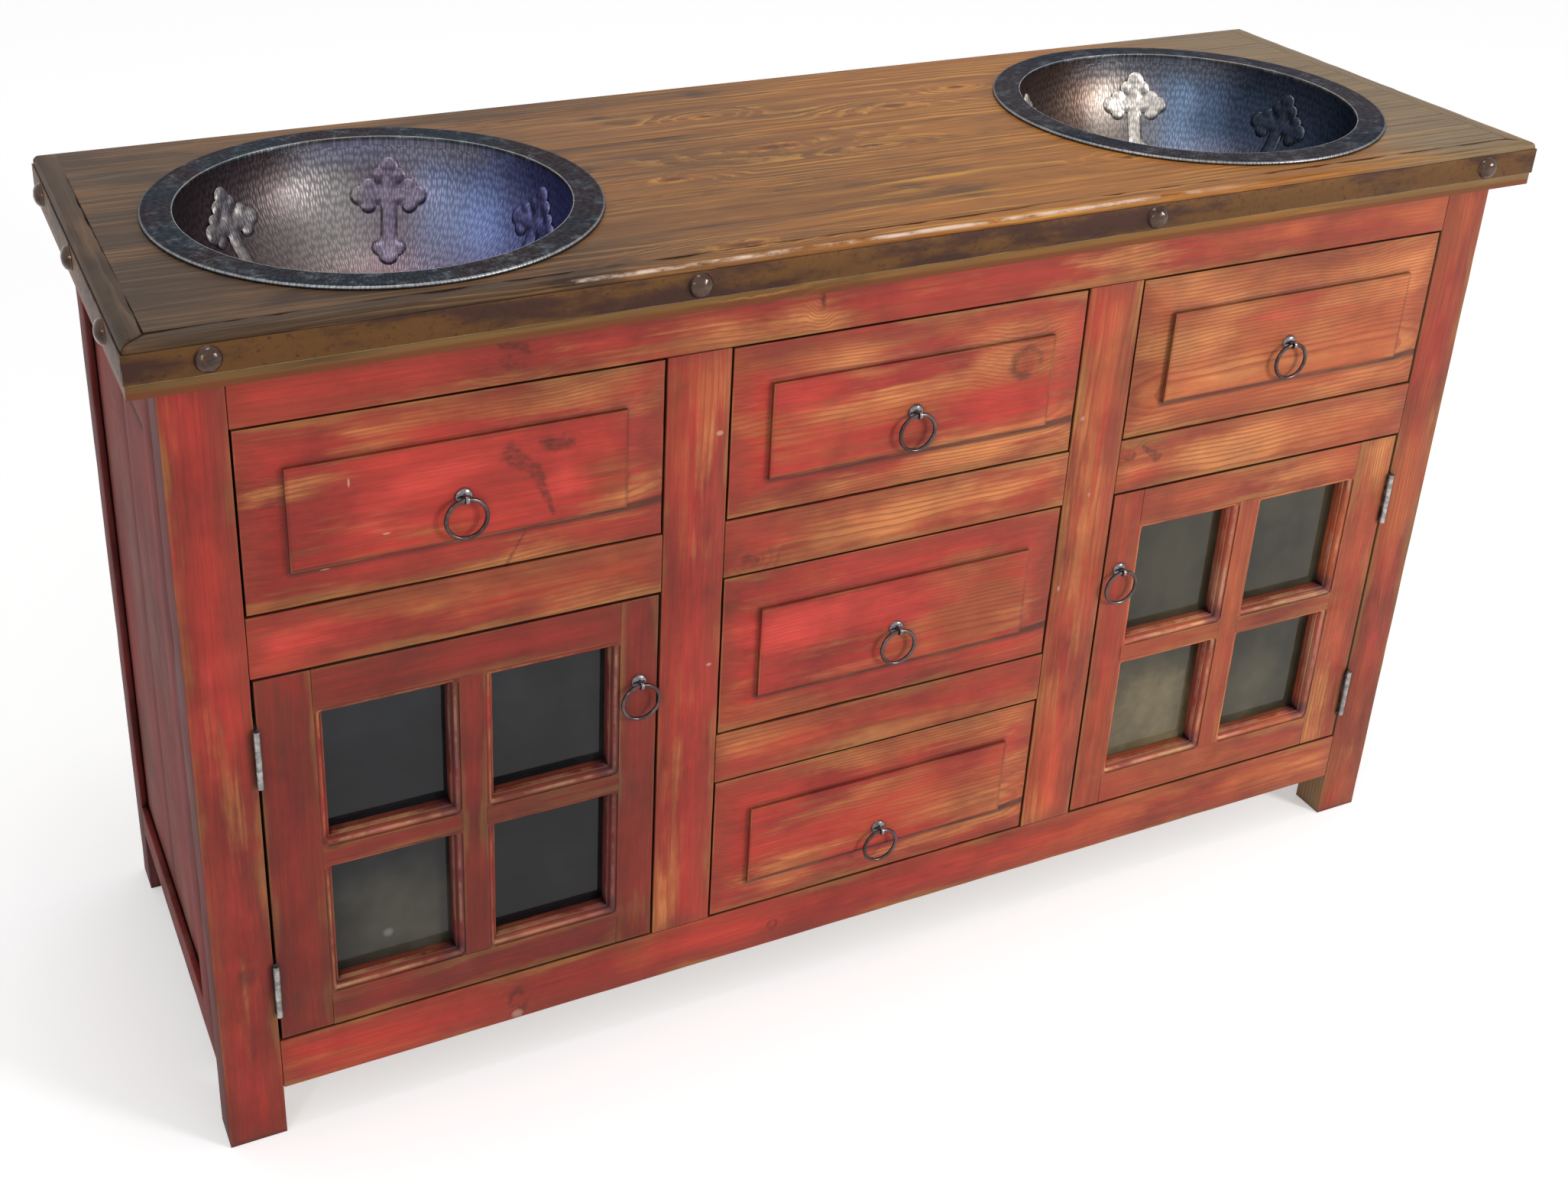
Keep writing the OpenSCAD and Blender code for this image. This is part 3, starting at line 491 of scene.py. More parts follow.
# The sides' paint is the front's made darker and more mauve: painted shade on the sides
shadedSidePaint = {
    "full": (0.23, 0.032, 0.028, 1), "deep": (0.13, 0.022, 0.022, 1), "pink": (0.31, 0.055, 0.062, 1),
    "bare": (0.21, 0.064, 0.048, 1), "tan": (0.25, 0.095, 0.075, 1), "brown": (0.11, 0.03, 0.025, 1),
    "line": (0.12, 0.028, 0.026, 1), "edge": (0.22, 0.10, 0.10, 1), "knot": (0.04, 0.014, 0.012, 1),
    "heart": (0.14, 0.03, 0.028, 1), "nick": (0.3, 0.2, 0.17, 1), "dirtAndShade": (0.016, 0.007, 0.008, 1),
    "bead": (0.2, 0.05, 0.05, 1), "orange": (0.21, 0.034, 0.034, 1), "bruise": (0.05, 0.02, 0.03, 1),
    "amount": 0.0, "knots": 0.12, "ring": 0.005, "shine": 0.04,
}


fieldLook = {  # the shadow round a drawer's raised field, and the wider one below it
    "line": (0.0042, 0.0008), "share": 0.3,
    "below": ((-0.0105, -0.003), (0.004, 0.001)), "ends": (-0.006, 0.003),
}


def markField(tree, color, look, inset, feeds, patches):
    # painted shadow round the raised field and a wider painted shadow below it, in the dark knot colour
    away = calc(tree, "ABSOLUTE", minus(tree, inset, look["field"]))
    low = axesOf(tree, vectorMath(tree, "ADD", feeds["Spot"], feeds["Half"])[0])
    color = cover(tree, color, look["knot"], ease(tree, away, *fieldLook["line"]), fieldLook["share"])
    reach = minus(tree, low[2], look["field"])
    first, last = fieldLook["below"]
    below = times(tree, ease(tree, reach, *first), ease(tree, reach, *last))
    ends = [look["field"] + more for more in fieldLook["ends"]]
    below = times(tree, below, ease(tree, low[0], *ends))
    return cover(tree, color, look["knot"], below, scaled(tree, patches, 0.8, 0.4))


def makePaint(name, look):
    material, tree, shader = newMaterial(name, Specular_IOR_Level=look["shine"])
    at, place = grainVector(tree), objectVector(tree)
    wash = axesOf(tree, ownVector(tree, "wash"))
    feeds = {"Spot": ownVector(tree, "spot"), "Half": ownVector(tree, "half")}
    inset, side = useGroup(tree, insetGroup, feeds)
    reach = useGroup(tree, knotGroup, {"Vector": place})["Reach"]
    growth = {"Vector": at, "Knots": look["knots"], "Reach": reach, "Ring": look["ring"]}
    grain = useGroup(tree, grainGroup, growth)
    edge = useGroup(tree, edgeGroup, {"Vector": place, "Width": 0.004})
    broad = streaky(tree, at, (4.5, 15, 15), detail=5, roughness=0.6)
    second = streaky(tree, at, (5.5, 20, 24), scale=1.3, detail=4)
    third = streaky(tree, at, (2.7, 11, 9), scale=1.7, detail=4)
    streaks = streaky(tree, at, (7, 150, 150), detail=4, roughness=0.65)
    deepShare = ease(tree, scaled(tree, streaks, 0.4, third), 0.55, 0.95)
    across, _, height = axesOf(tree, place)
    sunny = times(tree, ease(tree, across, 0.05, 0.45), ease(tree, second, 0.25, 0.65))
    color = mixColor(tree, times(tree, sunny, 0.75), look["full"], look["orange"])
    color = mixColor(tree, deepShare, color, look["deep"])
    pinkShare = scaled(tree, wash[1], 0.34, scaled(tree, streaks, 0.2, second))
    color = cover(tree, color, look["pink"], ease(tree, pinkShare, 0.68, 0.98), 0.72)
    total = calc(tree, "ADD", scaled(tree, streaks, 0.5, broad), ownValue(tree, "tone"))
    total = scaled(tree, wash[0], 0.30, calc(tree, "ADD", total, look["amount"]))
    total = scaled(tree, wash[1], -0.10, total)
    rub = ease(tree, total, 0.70, 0.98)
    bare = mixColor(tree, ease(tree, third, 0.42, 0.68), look["bare"], look["tan"])
    color = cover(tree, color, bare, rub, 0.85)
    glaze = scaled(tree, minus(tree, broad, 0.5), 0.09, inset)
    glaze = times(tree, ease(tree, glaze, 0.034, 0.0), 0.5)
    brown = scaled(tree, wash[2], 0.34, minus(tree, 1.0, second))
    brown = calc(tree, "MAXIMUM", glaze, times(tree, ease(tree, brown, 0.62, 0.95), 0.7))
    color = mixColor(tree, brown, color, look["brown"])
    ochre = scaled(tree, minus(tree, second, 0.5), 0.05, side)
    ochre = times(tree, ease(tree, ochre, 0.008, 0.0), ease(tree, third, 0.40, 0.60))
    color = cover(tree, color, look["edge"], ochre, 0.5)
    lines = times(tree, grain["Rings"], scaled(tree, rub, 0.35, 0.25))
    color = mixColor(tree, lines, color, look["line"])
    color = shaded(tree, color, grain["Fibre"], 0.9, 0.55)
    color = cover(tree, color, look["heart"], grain["Heart"], 0.55)
    color = cover(tree, color, look["knot"], grain["Knot"], 0.6)
    if "field" in look:
        color = markField(tree, color, look, inset, feeds, third)
    # painted shadow along the top of the side panel, under the side frame's top rail
    if "shadowUnderRail" in look:
        color = cover(tree, color, look["dirtAndShade"], ease(tree, height, *look["shadowUnderRail"]), 0.8)
    smear = useGroup(tree, smearGroup, {"Vector": place})["Smear"]
    torn = ease(tree, streaky(tree, place, (120, 120, 260), detail=4, roughness=0.7), 0.34, 0.62)
    color = cover(tree, color, look["knot"], smear, scaled(tree, torn, 0.5, 0.18))
    nick = useGroup(tree, nickGroup, {"Vector": place})["Reach"]
    color = cover(tree, color, look["nick"], ease(tree, nick, 1.2, 0.5), 0.8)
    worn = times(tree, edge["Edge"], ease(tree, cloud(tree, place, scale=13), 0.40, 0.62))
    color = cover(tree, color, look["edge"], worn, 0.6)
    mould = useGroup(tree, mouldGroup, {"Vector": place})
    rubbed = ease(tree, cloud(tree, place, scale=26, detail=4, roughness=0.6), 0.38, 0.62)
    chipped = ease(tree, cloud(tree, place, scale=17, detail=3), 0.42, 0.58)
    bead = mixColor(tree, chipped, look["bead"], look["tan"])
    # painted highlight with worn paint on the mouldings' beads, and painted shade in their grooves
    color = cover(tree, color, bead, mould["Light"], rubbed)
    color = cover(tree, color, look["knot"], mould["GrooveShade"], 0.8)
    bruise = times(tree, ownValue(tree, "bruise"), scaled(tree, rubbed, -0.5, 0.9))
    color = mixColor(tree, bruise, color, look["bruise"])
    age = cloud(tree, place, scale=8, detail=5, roughness=0.6)
    color = shaded(tree, color, ease(tree, age, 0.32, 0.62), 0.36, 0.72)
    dark = ease(tree, ownValue(tree, "tone"), -0.07, -0.2)
    color = shaded(tree, color, dark, -0.38, 1.0)
    # grime and painted shade in creases and recesses
    color = cover(tree, color, look["dirtAndShade"], edge["GrimeAndShade"], 0.85)
    relief = scaled(tree, grain["Rings"], 0.4, grain["Fibre"])
    relief = scaled(tree, grain["Knot"], -1.0, relief)
    finish(tree, shader, color, scaled(tree, grain["Fibre"], 0.3, 0.38), relief, 0.0004, 0.6)
    return material


topStain = {
    "light": (0.36, 0.135, 0.031, 1), "dark": (0.070, 0.044, 0.028, 1), "line": (0.64, 0.31, 0.055, 1),
    "dull": (0.26, 0.165, 0.095, 1), "scorch": (0.035, 0.024, 0.019, 1), "warm": (0.185, 0.095, 0.045, 1),
    "knot": (0.045, 0.02, 0.012, 1), "heart": (0.26, 0.075, 0.022, 1), "worn": (0.80, 0.62, 0.50, 1),
    "dirtAndShade": (0.025, 0.014, 0.01, 1), "hair": (0.06, 0.028, 0.012, 1), "raw": (0.20, 0.11, 0.038, 1),
    "khaki": (0.21, 0.165, 0.10, 1), "foot": (0.17, 0.050, 0.022, 1),
    "rawHeights": (0.885, 0.876),  # the edging is unstained below these
    "footHeights": (0.0080, 0.0045),  # the same over its lower edge, for its red foot
}


def makeStain(name, look):
    material, tree, shader = newMaterial(name, Specular_IOR_Level=0.06)
    at, place = grainVector(tree), objectVector(tree)
    reach = useGroup(tree, topKnotGroup, {"Vector": place})["Reach"]
    grain = useGroup(tree, grainGroup, {"Vector": at, "Knots": 0.0, "Reach": reach, "Ring": 0.0055})
    edge = useGroup(tree, edgeGroup, {"Vector": place, "Width": 0.004})
    across, _, height = axesOf(tree, place)
    patches = streaky(tree, at, (3, 14, 14), detail=4)
    burnt = streaky(tree, at, (7, 16, 16), scale=1.1, detail=5, roughness=0.6)
    bands = streaky(tree, at, (1.2, 40, 40), detail=3)
    # darker to the left and lighter orange to the right, with grey-khaki at the far right: partly stain,
    # partly painted light and painted reflection
    warm = scaled(tree, patches, 0.8, across)
    warm = scaled(tree, bands, 0.5, warm)
    first = mixColor(tree, ease(tree, patches, 0.42, 0.62), look["dark"], look["warm"])
    color = mixColor(tree, ease(tree, warm, 0.0, 0.95), first, look["light"])
    scorch = times(tree, ease(tree, burnt, 0.54, 0.72), ease(tree, warm, 1.3, 0.2))
    color = cover(tree, color, look["scorch"], scorch, 0.8)
    far = ease(tree, scaled(tree, patches, 0.35, across), 0.56, 0.82)
    color = cover(tree, color, look["khaki"], far, 0.85)
    hairs = ease(tree, streaky(tree, at, (5, 300, 300), detail=3, roughness=0.7), 0.50, 0.66)
    color = cover(tree, color, look["hair"], hairs, 0.6)
    share = ease(tree, calc(tree, "ADD", across, times(tree, bands, 0.6)), -0.45, 0.5)
    thin = ease(tree, streaky(tree, at, (4, 60, 60), detail=3), 0.42, 0.62)
    streak = times(tree, grain["Rings"], scaled(tree, share, 0.45, 0.28))
    streak = times(tree, streak, scaled(tree, thin, 0.9, 0.1))
    streak = times(tree, streak, scaled(tree, far, -0.7, 1.0))
    color = mixColor(tree, streak, color, mixColor(tree, share, look["dull"], look["line"]))
    color = shaded(tree, color, grain["Fibre"], 1.3, 0.35)
    color = cover(tree, color, look["heart"], grain["Heart"], 0.75)
    color = cover(tree, color, look["knot"], ease(tree, reach, 0.8, 0.2), 0.6)
    color = cover(tree, color, look["line"], grain["Knot"], 0.55)
    chips = ease(tree, streaky(tree, place, (22, 60, 60), detail=4, roughness=0.7), 0.36, 0.62)
    # the front edge worn pale, partly a painted highlight along its rounding
    lip = times(tree, ownValue(tree, "lip"), times(tree, chips, 0.8))
    color = cover(tree, color, look["hair"], edge["Edge"], 0.4)
    color = mixColor(tree, lip, color, look["worn"])
    raw = times(tree, ease(tree, height, *look["rawHeights"]), ease(tree, patches, 0.25, 0.5))
    color = cover(tree, color, look["raw"], raw, 0.75)
    foot = ease(tree, minus(tree, height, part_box("top_edging")[0].z), *look["footHeights"])
    color = cover(tree, color, look["foot"], foot, 0.8)
    # grime and painted shade in creases, and under the iron band
    color = cover(tree, color, look["dirtAndShade"], edge["GrimeAndShade"], 0.8)
    relief = scaled(tree, grain["Rings"], 0.5, grain["Fibre"])
    finish(tree, shader, color, scaled(tree, grain["Fibre"], 0.3, 0.26), relief, 0.0004, 0.6)
    return material


pineLook = {
    "light": (0.60, 0.39, 0.19, 1), "line": (0.42, 0.23, 0.09, 1), "knot": (0.20, 0.09, 0.035, 1),
    "dirtAndShade": (0.16, 0.09, 0.045, 1),
}
oldPine = {
    "light": (0.30, 0.18, 0.09, 1), "line": (0.19, 0.10, 0.045, 1), "knot": (0.09, 0.045, 0.02, 1),
    "dirtAndShade": (0.05, 0.03, 0.018, 1),
}


def makePine(name, look):
    material, tree, shader = newMaterial(name, Specular_IOR_Level=0.3)
    at, place = grainVector(tree), objectVector(tree)
    grain = useGroup(tree, grainGroup, {"Vector": at, "Knots": 0.4})
    edge = useGroup(tree, edgeGroup, {"Vector": place, "Width": 0.003})
    color = mixColor(tree, times(tree, grain["Rings"], 0.7), look["light"], look["line"])
    color = shaded(tree, color, grain["Fibre"], 0.6, 0.7)
    color = cover(tree, color, look["line"], grain["Heart"], 0.5)
    color = cover(tree, color, look["knot"], grain["Knot"], 0.8)
    # grime and painted shade in creases and recesses
    color = cover(tree, color, look["dirtAndShade"], edge["GrimeAndShade"], 0.6)
    relief = scaled(tree, grain["Rings"], 0.3, grain["Fibre"])
    finish(tree, shader, color, scaled(tree, grain["Fibre"], 0.25, 0.5), relief, 0.0004, 0.5)
    return material


ironLooks = {  # tones are two of the scale, one of its specks and one of its worn edges, which on the strap's lower edge are also a painted highlight
    "strapIron": {
        "tones": [(0.110, 0.050, 0.016, 1), (0.050, 0.023, 0.016, 1), (0.040, 0.020, 0.014, 1),
                  (0.60, 0.48, 0.34, 1)],
        "metallic": 0.85, "roughness": 0.36, "pit": 0.0004, "blotch": (7, 26, 26),
    },
    "nailIron": {
        "tones": [(0.080, 0.046, 0.030, 1), (0.04, 0.022, 0.016, 1), (0.10, 0.045, 0.025, 1),
                  (0.20, 0.15, 0.13, 1)],
        "metallic": 0.55, "roughness": 0.04, "pit": 0.0003, "blotch": (60, 60, 60),
    },
    "roseIron": {
        "tones": [(0.22, 0.20, 0.21, 1), (0.13, 0.11, 0.11, 1), (0.10, 0.07, 0.06, 1),
                  (0.45, 0.43, 0.45, 1)],
        "metallic": 0.95, "roughness": 0.12, "pit": 0.0003, "blotch": (90, 90, 90),
    },
    "ringIron": {
        "tones": [(0.11, 0.09, 0.09, 1), (0.06, 0.042, 0.04, 1), (0.15, 0.09, 0.07, 1),
                  (0.36, 0.33, 0.32, 1)],
        "metallic": 0.95, "roughness": 0.08, "pit": 0.0002, "blotch": (26, 26, 26),
    },
}


def makeIron(name, highlightBelow=None):
    # the second argument is the height below which worn edges are painted pale: worn metal, and a painted
    # highlight along the band's lower edge
    look = ironLooks[name]
    tones = look["tones"]
    material, tree, shader = newMaterial(name, Metallic=look["metallic"])
    at = objectVector(tree)
    blotch = streaky(tree, at, look["blotch"], detail=5, roughness=0.6)
    small = cloud(tree, at, scale=190, detail=4, roughness=0.7)
    edge = useGroup(tree, edgeGroup, {"Vector": at, "Width": 0.0015})
    color = mixColor(tree, ease(tree, blotch, 0.44, 0.60), tones[0], tones[1])
    color = mixColor(tree, ease(tree, small, 0.55, 0.75), color, tones[2])
    shown = times(tree, edge["Edge"], 0.6)
    if highlightBelow:
        height = axesOf(tree, at)[2]
        shown = times(tree, shown, ease(tree, height, highlightBelow + 0.002, highlightBelow - 0.002))
    color = mixColor(tree, shown, color, tones[3])
    relief = scaled(tree, cloud(tree, at, scale=75, detail=2), 2.0, small)
    finish(tree, shader, color, scaled(tree, small, 0.3, look["roughness"]), relief, look["pit"], 0.7)
    return material


def makeZinc():
    material, tree, shader = newMaterial("zincPlate", Metallic=1.0)
    at = objectVector(tree)
    bloom = cloud(tree, at, scale=120, detail=4)
    color = mixColor(tree, ease(tree, bloom, 0.4, 0.65), (0.20, 0.20, 0.19, 1), (0.42, 0.42, 0.41, 1))
    grit = cloud(tree, at, scale=600, detail=2)
    finish(tree, shader, color, scaled(tree, bloom, 0.3, 0.25), grit, 0.0001, 0.4)
    return material


dustyPanes = [  # middle, reach and colour of the dust on the panes
    ((-0.56, 0, 0.20), 0.10, (0.085, 0.078, 0.058, 1)), ((0.375, 0, 0.19), 0.12, (0.24, 0.195, 0.105, 1)),
    ((0.55, 0, 0.20), 0.07, (0.11, 0.10, 0.06, 1)), ((-0.555, 0, 0.205), 0.006, (0.20, 0.20, 0.165, 1)),
]


def makeGlass():
    material, tree, shader = newMaterial("smokedPane", IOR=1.35, Transmission_Weight=0.45)
    at = objectVector(tree)
    haze = cloud(tree, at, scale=9, detail=5, roughness=0.6)
    fine = cloud(tree, at, scale=60, detail=4)
    across = axesOf(tree, at)[0]
    right = ease(tree, scaled(tree, haze, 0.9, across), 0.0, 0.95)
    color = mixColor(tree, right, (0.012, 0.014, 0.018, 1), (0.068, 0.060, 0.037, 1))
    for centre, spread, dust in dustyPanes:
        away = vectorMath(tree, "SUBTRACT", at, centre)[0]
        away = lengthOf(tree, stretch(tree, away, (1 / spread, 0, 1 / spread)))
        near = scaled(tree, haze, -0.8, calc(tree, "ADD", away, 0.4))
        color = mixColor(tree, ease(tree, near, 1.1, 0.3), color, dust)
    color = shaded(tree, color, ease(tree, haze, 0.35, 0.65), 0.6, 0.65)
    color = shaded(tree, color, fine, 0.5, 0.75)
    waves = cloud(tree, at, scale=9, detail=0)
    finish(tree, shader, color, scaled(tree, haze, 0.1, 0.02), waves, 0.0004, 0.3)
    return material


def makeCatchBrown():
    material, tree, shader = newMaterial("catchBrown")
    at = objectVector(tree)
    grit = cloud(tree, at, scale=300, detail=3)
    color = mixColor(tree, ease(tree, grit, 0.4, 0.7), (0.11, 0.055, 0.03, 1), (0.17, 0.09, 0.05, 1))
    finish(tree, shader, color, scaled(tree, grit, 0.3, 0.3), grit, 0.0001, 0.5)
    return material


sillPaint = dict(
    frontPaint, full=(0.45, 0.085, 0.050, 1), deep=(0.24, 0.045, 0.032, 1), bare=(0.52, 0.23, 0.09, 1),
    tan=(0.70, 0.40, 0.18, 1), bead=(0.68, 0.24, 0.18, 1), amount=0.04,
)
jambPaint = dict(
    frontPaint, full=(0.38, 0.058, 0.046, 1), deep=(0.20, 0.038, 0.038, 1), bare=(0.46, 0.20, 0.12, 1),
    tan=(0.55, 0.30, 0.17, 1), bead=(0.50, 0.21, 0.19, 1), amount=0.02,
)
drawerPaint = dict(frontPaint, field=0.04)
# the side panel's paint has a painted shadow along its top, under the rail
shadedPanelPaint = dict(shadedSidePaint, shadowUnderRail=(0.738, 0.752))
frontRed, shadedSideRed = makePaint("frontRed", frontPaint), makePaint("shadedSideRed", shadedSidePaint)
sillRed, jambRed = makePaint("sillRed", sillPaint), makePaint("jambRed", jambPaint)
drawerRed, shadedPanelRed = makePaint("drawerRed", drawerPaint), makePaint("shadedPanelRed", shadedPanelPaint)
stainedTop = makeStain("stainedTop", topStain)
barePine, darkPine = makePine("barePine", pineLook), makePine("darkPine", oldPine)
bandMiddle = sum(corner.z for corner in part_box("iron_band")) / 2
strapIron, nailIron = makeIron("strapIron", bandMiddle), makeIron("nailIron")
roseIron, ringIron = makeIron("roseIron"), makeIron("ringIron")
zincPlate, smokedPane, catchBrown = makeZinc(), makeGlass(), makeCatchBrown()
print("finishes made")

# Mesh helpers

def workpiece(node):
    bm = bmesh.new()
    bm.from_mesh(nodes[node].data)
    bmesh.ops.remove_doubles(bm, verts=bm.verts, dist=2e-5)
    bmesh.ops.dissolve_limit(bm, angle_limit=math.radians(1), verts=bm.verts, edges=bm.edges)
    return bm


def everything(bm):
    return bm.verts[:] + bm.edges[:] + bm.faces[:]


def cornersOf(verts):
    low = Vector([min(v.co[a] for v in verts) for a in range(3)])
    high = Vector([max(v.co[a] for v in verts) for a in range(3)])
    return low, high


def islandsOf(bm):
    bm.verts.ensure_lookup_table()
    bm.verts.index_update()
    found, seen = [], set()
    for start in bm.verts:
        if start.index in seen:
            continue
        seen.add(start.index)
        group = [start]
        for vert in group:
            for edge in vert.link_edges:
                other = edge.other_vert(vert)
                if other.index not in seen:
                    seen.add(other.index)
                    group.append(other)
        found.append(group)
    return found


def unitAlong(axis):
    return Vector([float(axis == a) for a in range(3)])


def cutAcross(bm, point, normal, **more):
    return bmesh.ops.bisect_plane(bm, geom=everything(bm), dist=1e-6, plane_co=point, plane_no=normal, **more)


def cutGrid(bm, pitch):
    low, high = cornersOf(bm.verts)
    for axis in range(3):
        steps = int((high[axis] - low[axis]) / pitch)
        for k in range(1, steps if steps > 3 else 0):
            cutAcross(bm, low + (high - low) * (k / steps), unitAlong(axis))


def layerOf(kind, name):
    return kind.get(name) or kind.new(name)


def sharpEdges(bm, angle=30):
    limit = math.radians(angle)
    return [e for e in bm.edges if e.is_manifold and e.calc_face_angle(0) > limit]


def roundEdges(bm, edges, width, segments=2):
    bmesh.ops.bevel(bm, geom=edges, offset=width, offset_type="OFFSET", segments=segments, profile=0.5,
                    affect="EDGES", material=-1, clamp_overlap=True)


weatherLook = {"chipPace": 45, "flat": 0.985}  # chips fall only off what leans more than flat


def weather(bm, depth, chips=1.5, pace=7.0, seed=0.0):
    # only takes material away, so that a piece stays inside its solid
    bm.normal_update()
    away = Vector((seed * 3.7, seed * 1.3, seed * 2.1))
    moves = []
    for vert in bm.verts:
        normal = vert.normal
        cut = depth * (0.5 + 0.5 * noise.noise(vert.co * pace + away))
        if max(abs(normal.x), abs(normal.y), abs(normal.z)) < weatherLook["flat"]:
            cut += depth * chips * max(0.0, noise.noise(vert.co * weatherLook["chipPace"] + away))
        moves.append(normal * -cut)
    for vert, move in zip(bm.verts, moves):
        vert.co += move


washFrom = -0.19  # only what lies in front of this y is marked
washes = [  # soft places on the front by kind: x, z, half length, half height
    [  # bare wood
        (-0.151, 0.837, 0.10, 0.014), (0.64, 0.835, 0.06, 0.02), (-0.43, 0.788, 0.14, 0.016),
        (-0.495, 0.668, 0.09, 0.018), (-0.325, 0.705, 0.05, 0.05), (-0.34, 0.605, 0.09, 0.02),
        (-0.50, 0.618, 0.12, 0.012), (-0.239, 0.78, 0.03, 0.05), (-0.10, 0.785, 0.10, 0.012),
        (-0.02, 0.715, 0.11, 0.014), (0.09, 0.66, 0.08, 0.014), (-0.048, 0.602, 0.13, 0.022),
        (0.12, 0.45, 0.06, 0.04), (-0.124, 0.372, 0.07, 0.02), (0.03, 0.302, 0.17, 0.02),
        (0.07, 0.215, 0.10, 0.03), (0.255, 0.745, 0.02, 0.08), (0.24, 0.50, 0.02, 0.12),
        (0.295, 0.71, 0.03, 0.07), (0.50, 0.685, 0.14, 0.03), (0.62, 0.72, 0.04, 0.06),
        (0.50, 0.595, 0.16, 0.02), (0.705, 0.50, 0.05, 0.12), (0.693, 0.06, 0.05, 0.06),
        (0.46, 0.555, 0.10, 0.02), (0.50, 0.10, 0.2, 0.02), (-0.293, 0.15, 0.03, 0.06),
    ],
    [  # pink paint
        (-0.388, 0.839, 0.14, 0.02), (0.355, 0.836, 0.16, 0.018), (-0.537, 0.725, 0.10, 0.022),
        (-0.372, 0.705, 0.025, 0.045), (-0.64, 0.585, 0.06, 0.02), (-0.10, 0.735, 0.09, 0.012),
        (0.10, 0.69, 0.06, 0.016), (-0.07, 0.478, 0.12, 0.03), (0.20, 0.74, 0.02, 0.06),
        (0.478, 0.748, 0.15, 0.012), (0.705, 0.73, 0.03, 0.06), (0.705, 0.25, 0.03, 0.08),
        (-0.72, 0.60, 0.02, 0.25), (-0.48, 0.135, 0.10, 0.01), (0.0, 0.09, 0.22, 0.015),
        (-0.235, 0.64, 0.03, 0.08), (0.33, 0.575, 0.05, 0.016), (-0.10, 0.545, 0.10, 0.015),
        (0.429, 0.698, 0.05, 0.014), (0.570, 0.743, 0.07, 0.014), (0.467, 0.629, 0.04, 0.008),
    ],
    [  # brown glaze
        (-0.71, 0.812, 0.06, 0.025), (-0.66, 0.50, 0.03, 0.08), (-0.55, 0.515, 0.12, 0.02),
        (-0.235, 0.40, 0.03, 0.16), (-0.18, 0.80, 0.04, 0.03), (0.16, 0.61, 0.05, 0.02),
        (0.249, 0.33, 0.02, 0.14), (-0.17, 0.55, 0.03, 0.03), (0.17, 0.40, 0.03, 0.04),
        (0.72, 0.40, 0.03, 0.05), (-0.60, 0.085, 0.12, 0.02), (0.66, 0.16, 0.03, 0.06),
        (-0.705, 0.28, 0.04, 0.20), (-0.47, 0.50, 0.15, 0.03), (-0.47, 0.32, 0.16, 0.03),
        (-0.30, 0.33, 0.02, 0.15), (0.71, 0.83, 0.04, 0.03), (-0.47, 0.15, 0.15, 0.03),
        (0.47, 0.32, 0.12, 0.02), (-0.62, 0.20, 0.03, 0.12), (0.0, 0.075, 0.5, 0.012),
        (0.70, 0.18, 0.03, 0.04), (0.285, 0.735, 0.016, 0.04),
    ],
]


def markWash(bm):
    layer = layerOf(bm.verts.layers.float_vector, "wash")
    for vert in bm.verts:
        shares = []
        for places in washes:
            total = 0.0
            for x, z, half, tall in places:
                total += math.exp(-((vert.co.x - x) / half) ** 2 - ((vert.co.z - z) / tall) ** 2)
            shares.append(min(1.0, total) if vert.co.y < washFrom else 0.0)
        vert[layer] = Vector(shares)


boardChance = {"shift": (9, 0.012, 0.03), "tone": 0.03}  # how far boards differ from one another


def markGrain(bm, seed, tone=0.0, along=None, through=None):
    # along and through are axes; without them the longest and the shortest side are taken
    layers = bm.verts.layers
    spot, half, shift = [layerOf(layers.float_vector, name) for name in ("spot", "half", "shift")]
    tones = layerOf(layers.float, "tone")
    far, deep, wide = boardChance["shift"]
    for count, island in enumerate(islandsOf(bm)):
        chance = random.Random(f"{seed} {count}")
        low, high = cornersOf(island)
        middle, size = (low + high) / 2, high - low
        order = sorted(range(3), key=lambda a: size[a])
        a = order[2] if along is None else along
        t = order[0] if through is None else through
        c = 3 - a - t
        own = Vector((chance.uniform(0, far), chance.uniform(-deep, deep), chance.uniform(-wide, wide)))
        rubbed = tone + chance.uniform(-boardChance["tone"], boardChance["tone"])
        for vert in island:
            away = vert.co - middle
            vert[spot] = Vector((away[a], away[t], away[c]))
            vert[half] = Vector((size[a], size[t], size[c])) / 2
            vert[shift] = own
            vert[tones] = rubbed


def asPiece(bm, name, stands, materials, angle=35):
    mesh = bpy.data.meshes.new(name)
    bm.normal_update()
    bm.to_mesh(mesh)
    bm.free()
    for material in materials:
        mesh.materials.append(material)
    mesh.polygons.foreach_set("use_smooth", [True] * len(mesh.polygons))
    mesh.set_sharp_from_angle(angle=math.radians(angle))
    piece = bpy.data.objects.new(name, mesh)
    bpy.context.scene.collection.objects.link(piece)
    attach(piece, nodes[stands[0]]["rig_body"])
    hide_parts(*stands)
    return piece


def turnRound(bm, axis, steps):
    bmesh.ops.spin(bm, geom=everything(bm), cent=(0, 0, 0), axis=axis, angle=math.tau, steps=steps,
                   use_merge=True)


def spun(bm, profile, steps):
    # a closed dome about z, from its outline as radius and height
    rim = [bm.verts.new((radius, 0, z)) for radius, z in profile]
    for first, second in zip(rim, rim[1:]):
        bm.edges.new((first, second))
    turnRound(bm, (0, 0, 1), steps)
    bmesh.ops.remove_doubles(bm, verts=bm.verts, dist=1e-6)
    bmesh.ops.holes_fill(bm, edges=bm.edges[:], sides=0)
    bmesh.ops.recalc_face_normals(bm, faces=bm.faces[:])


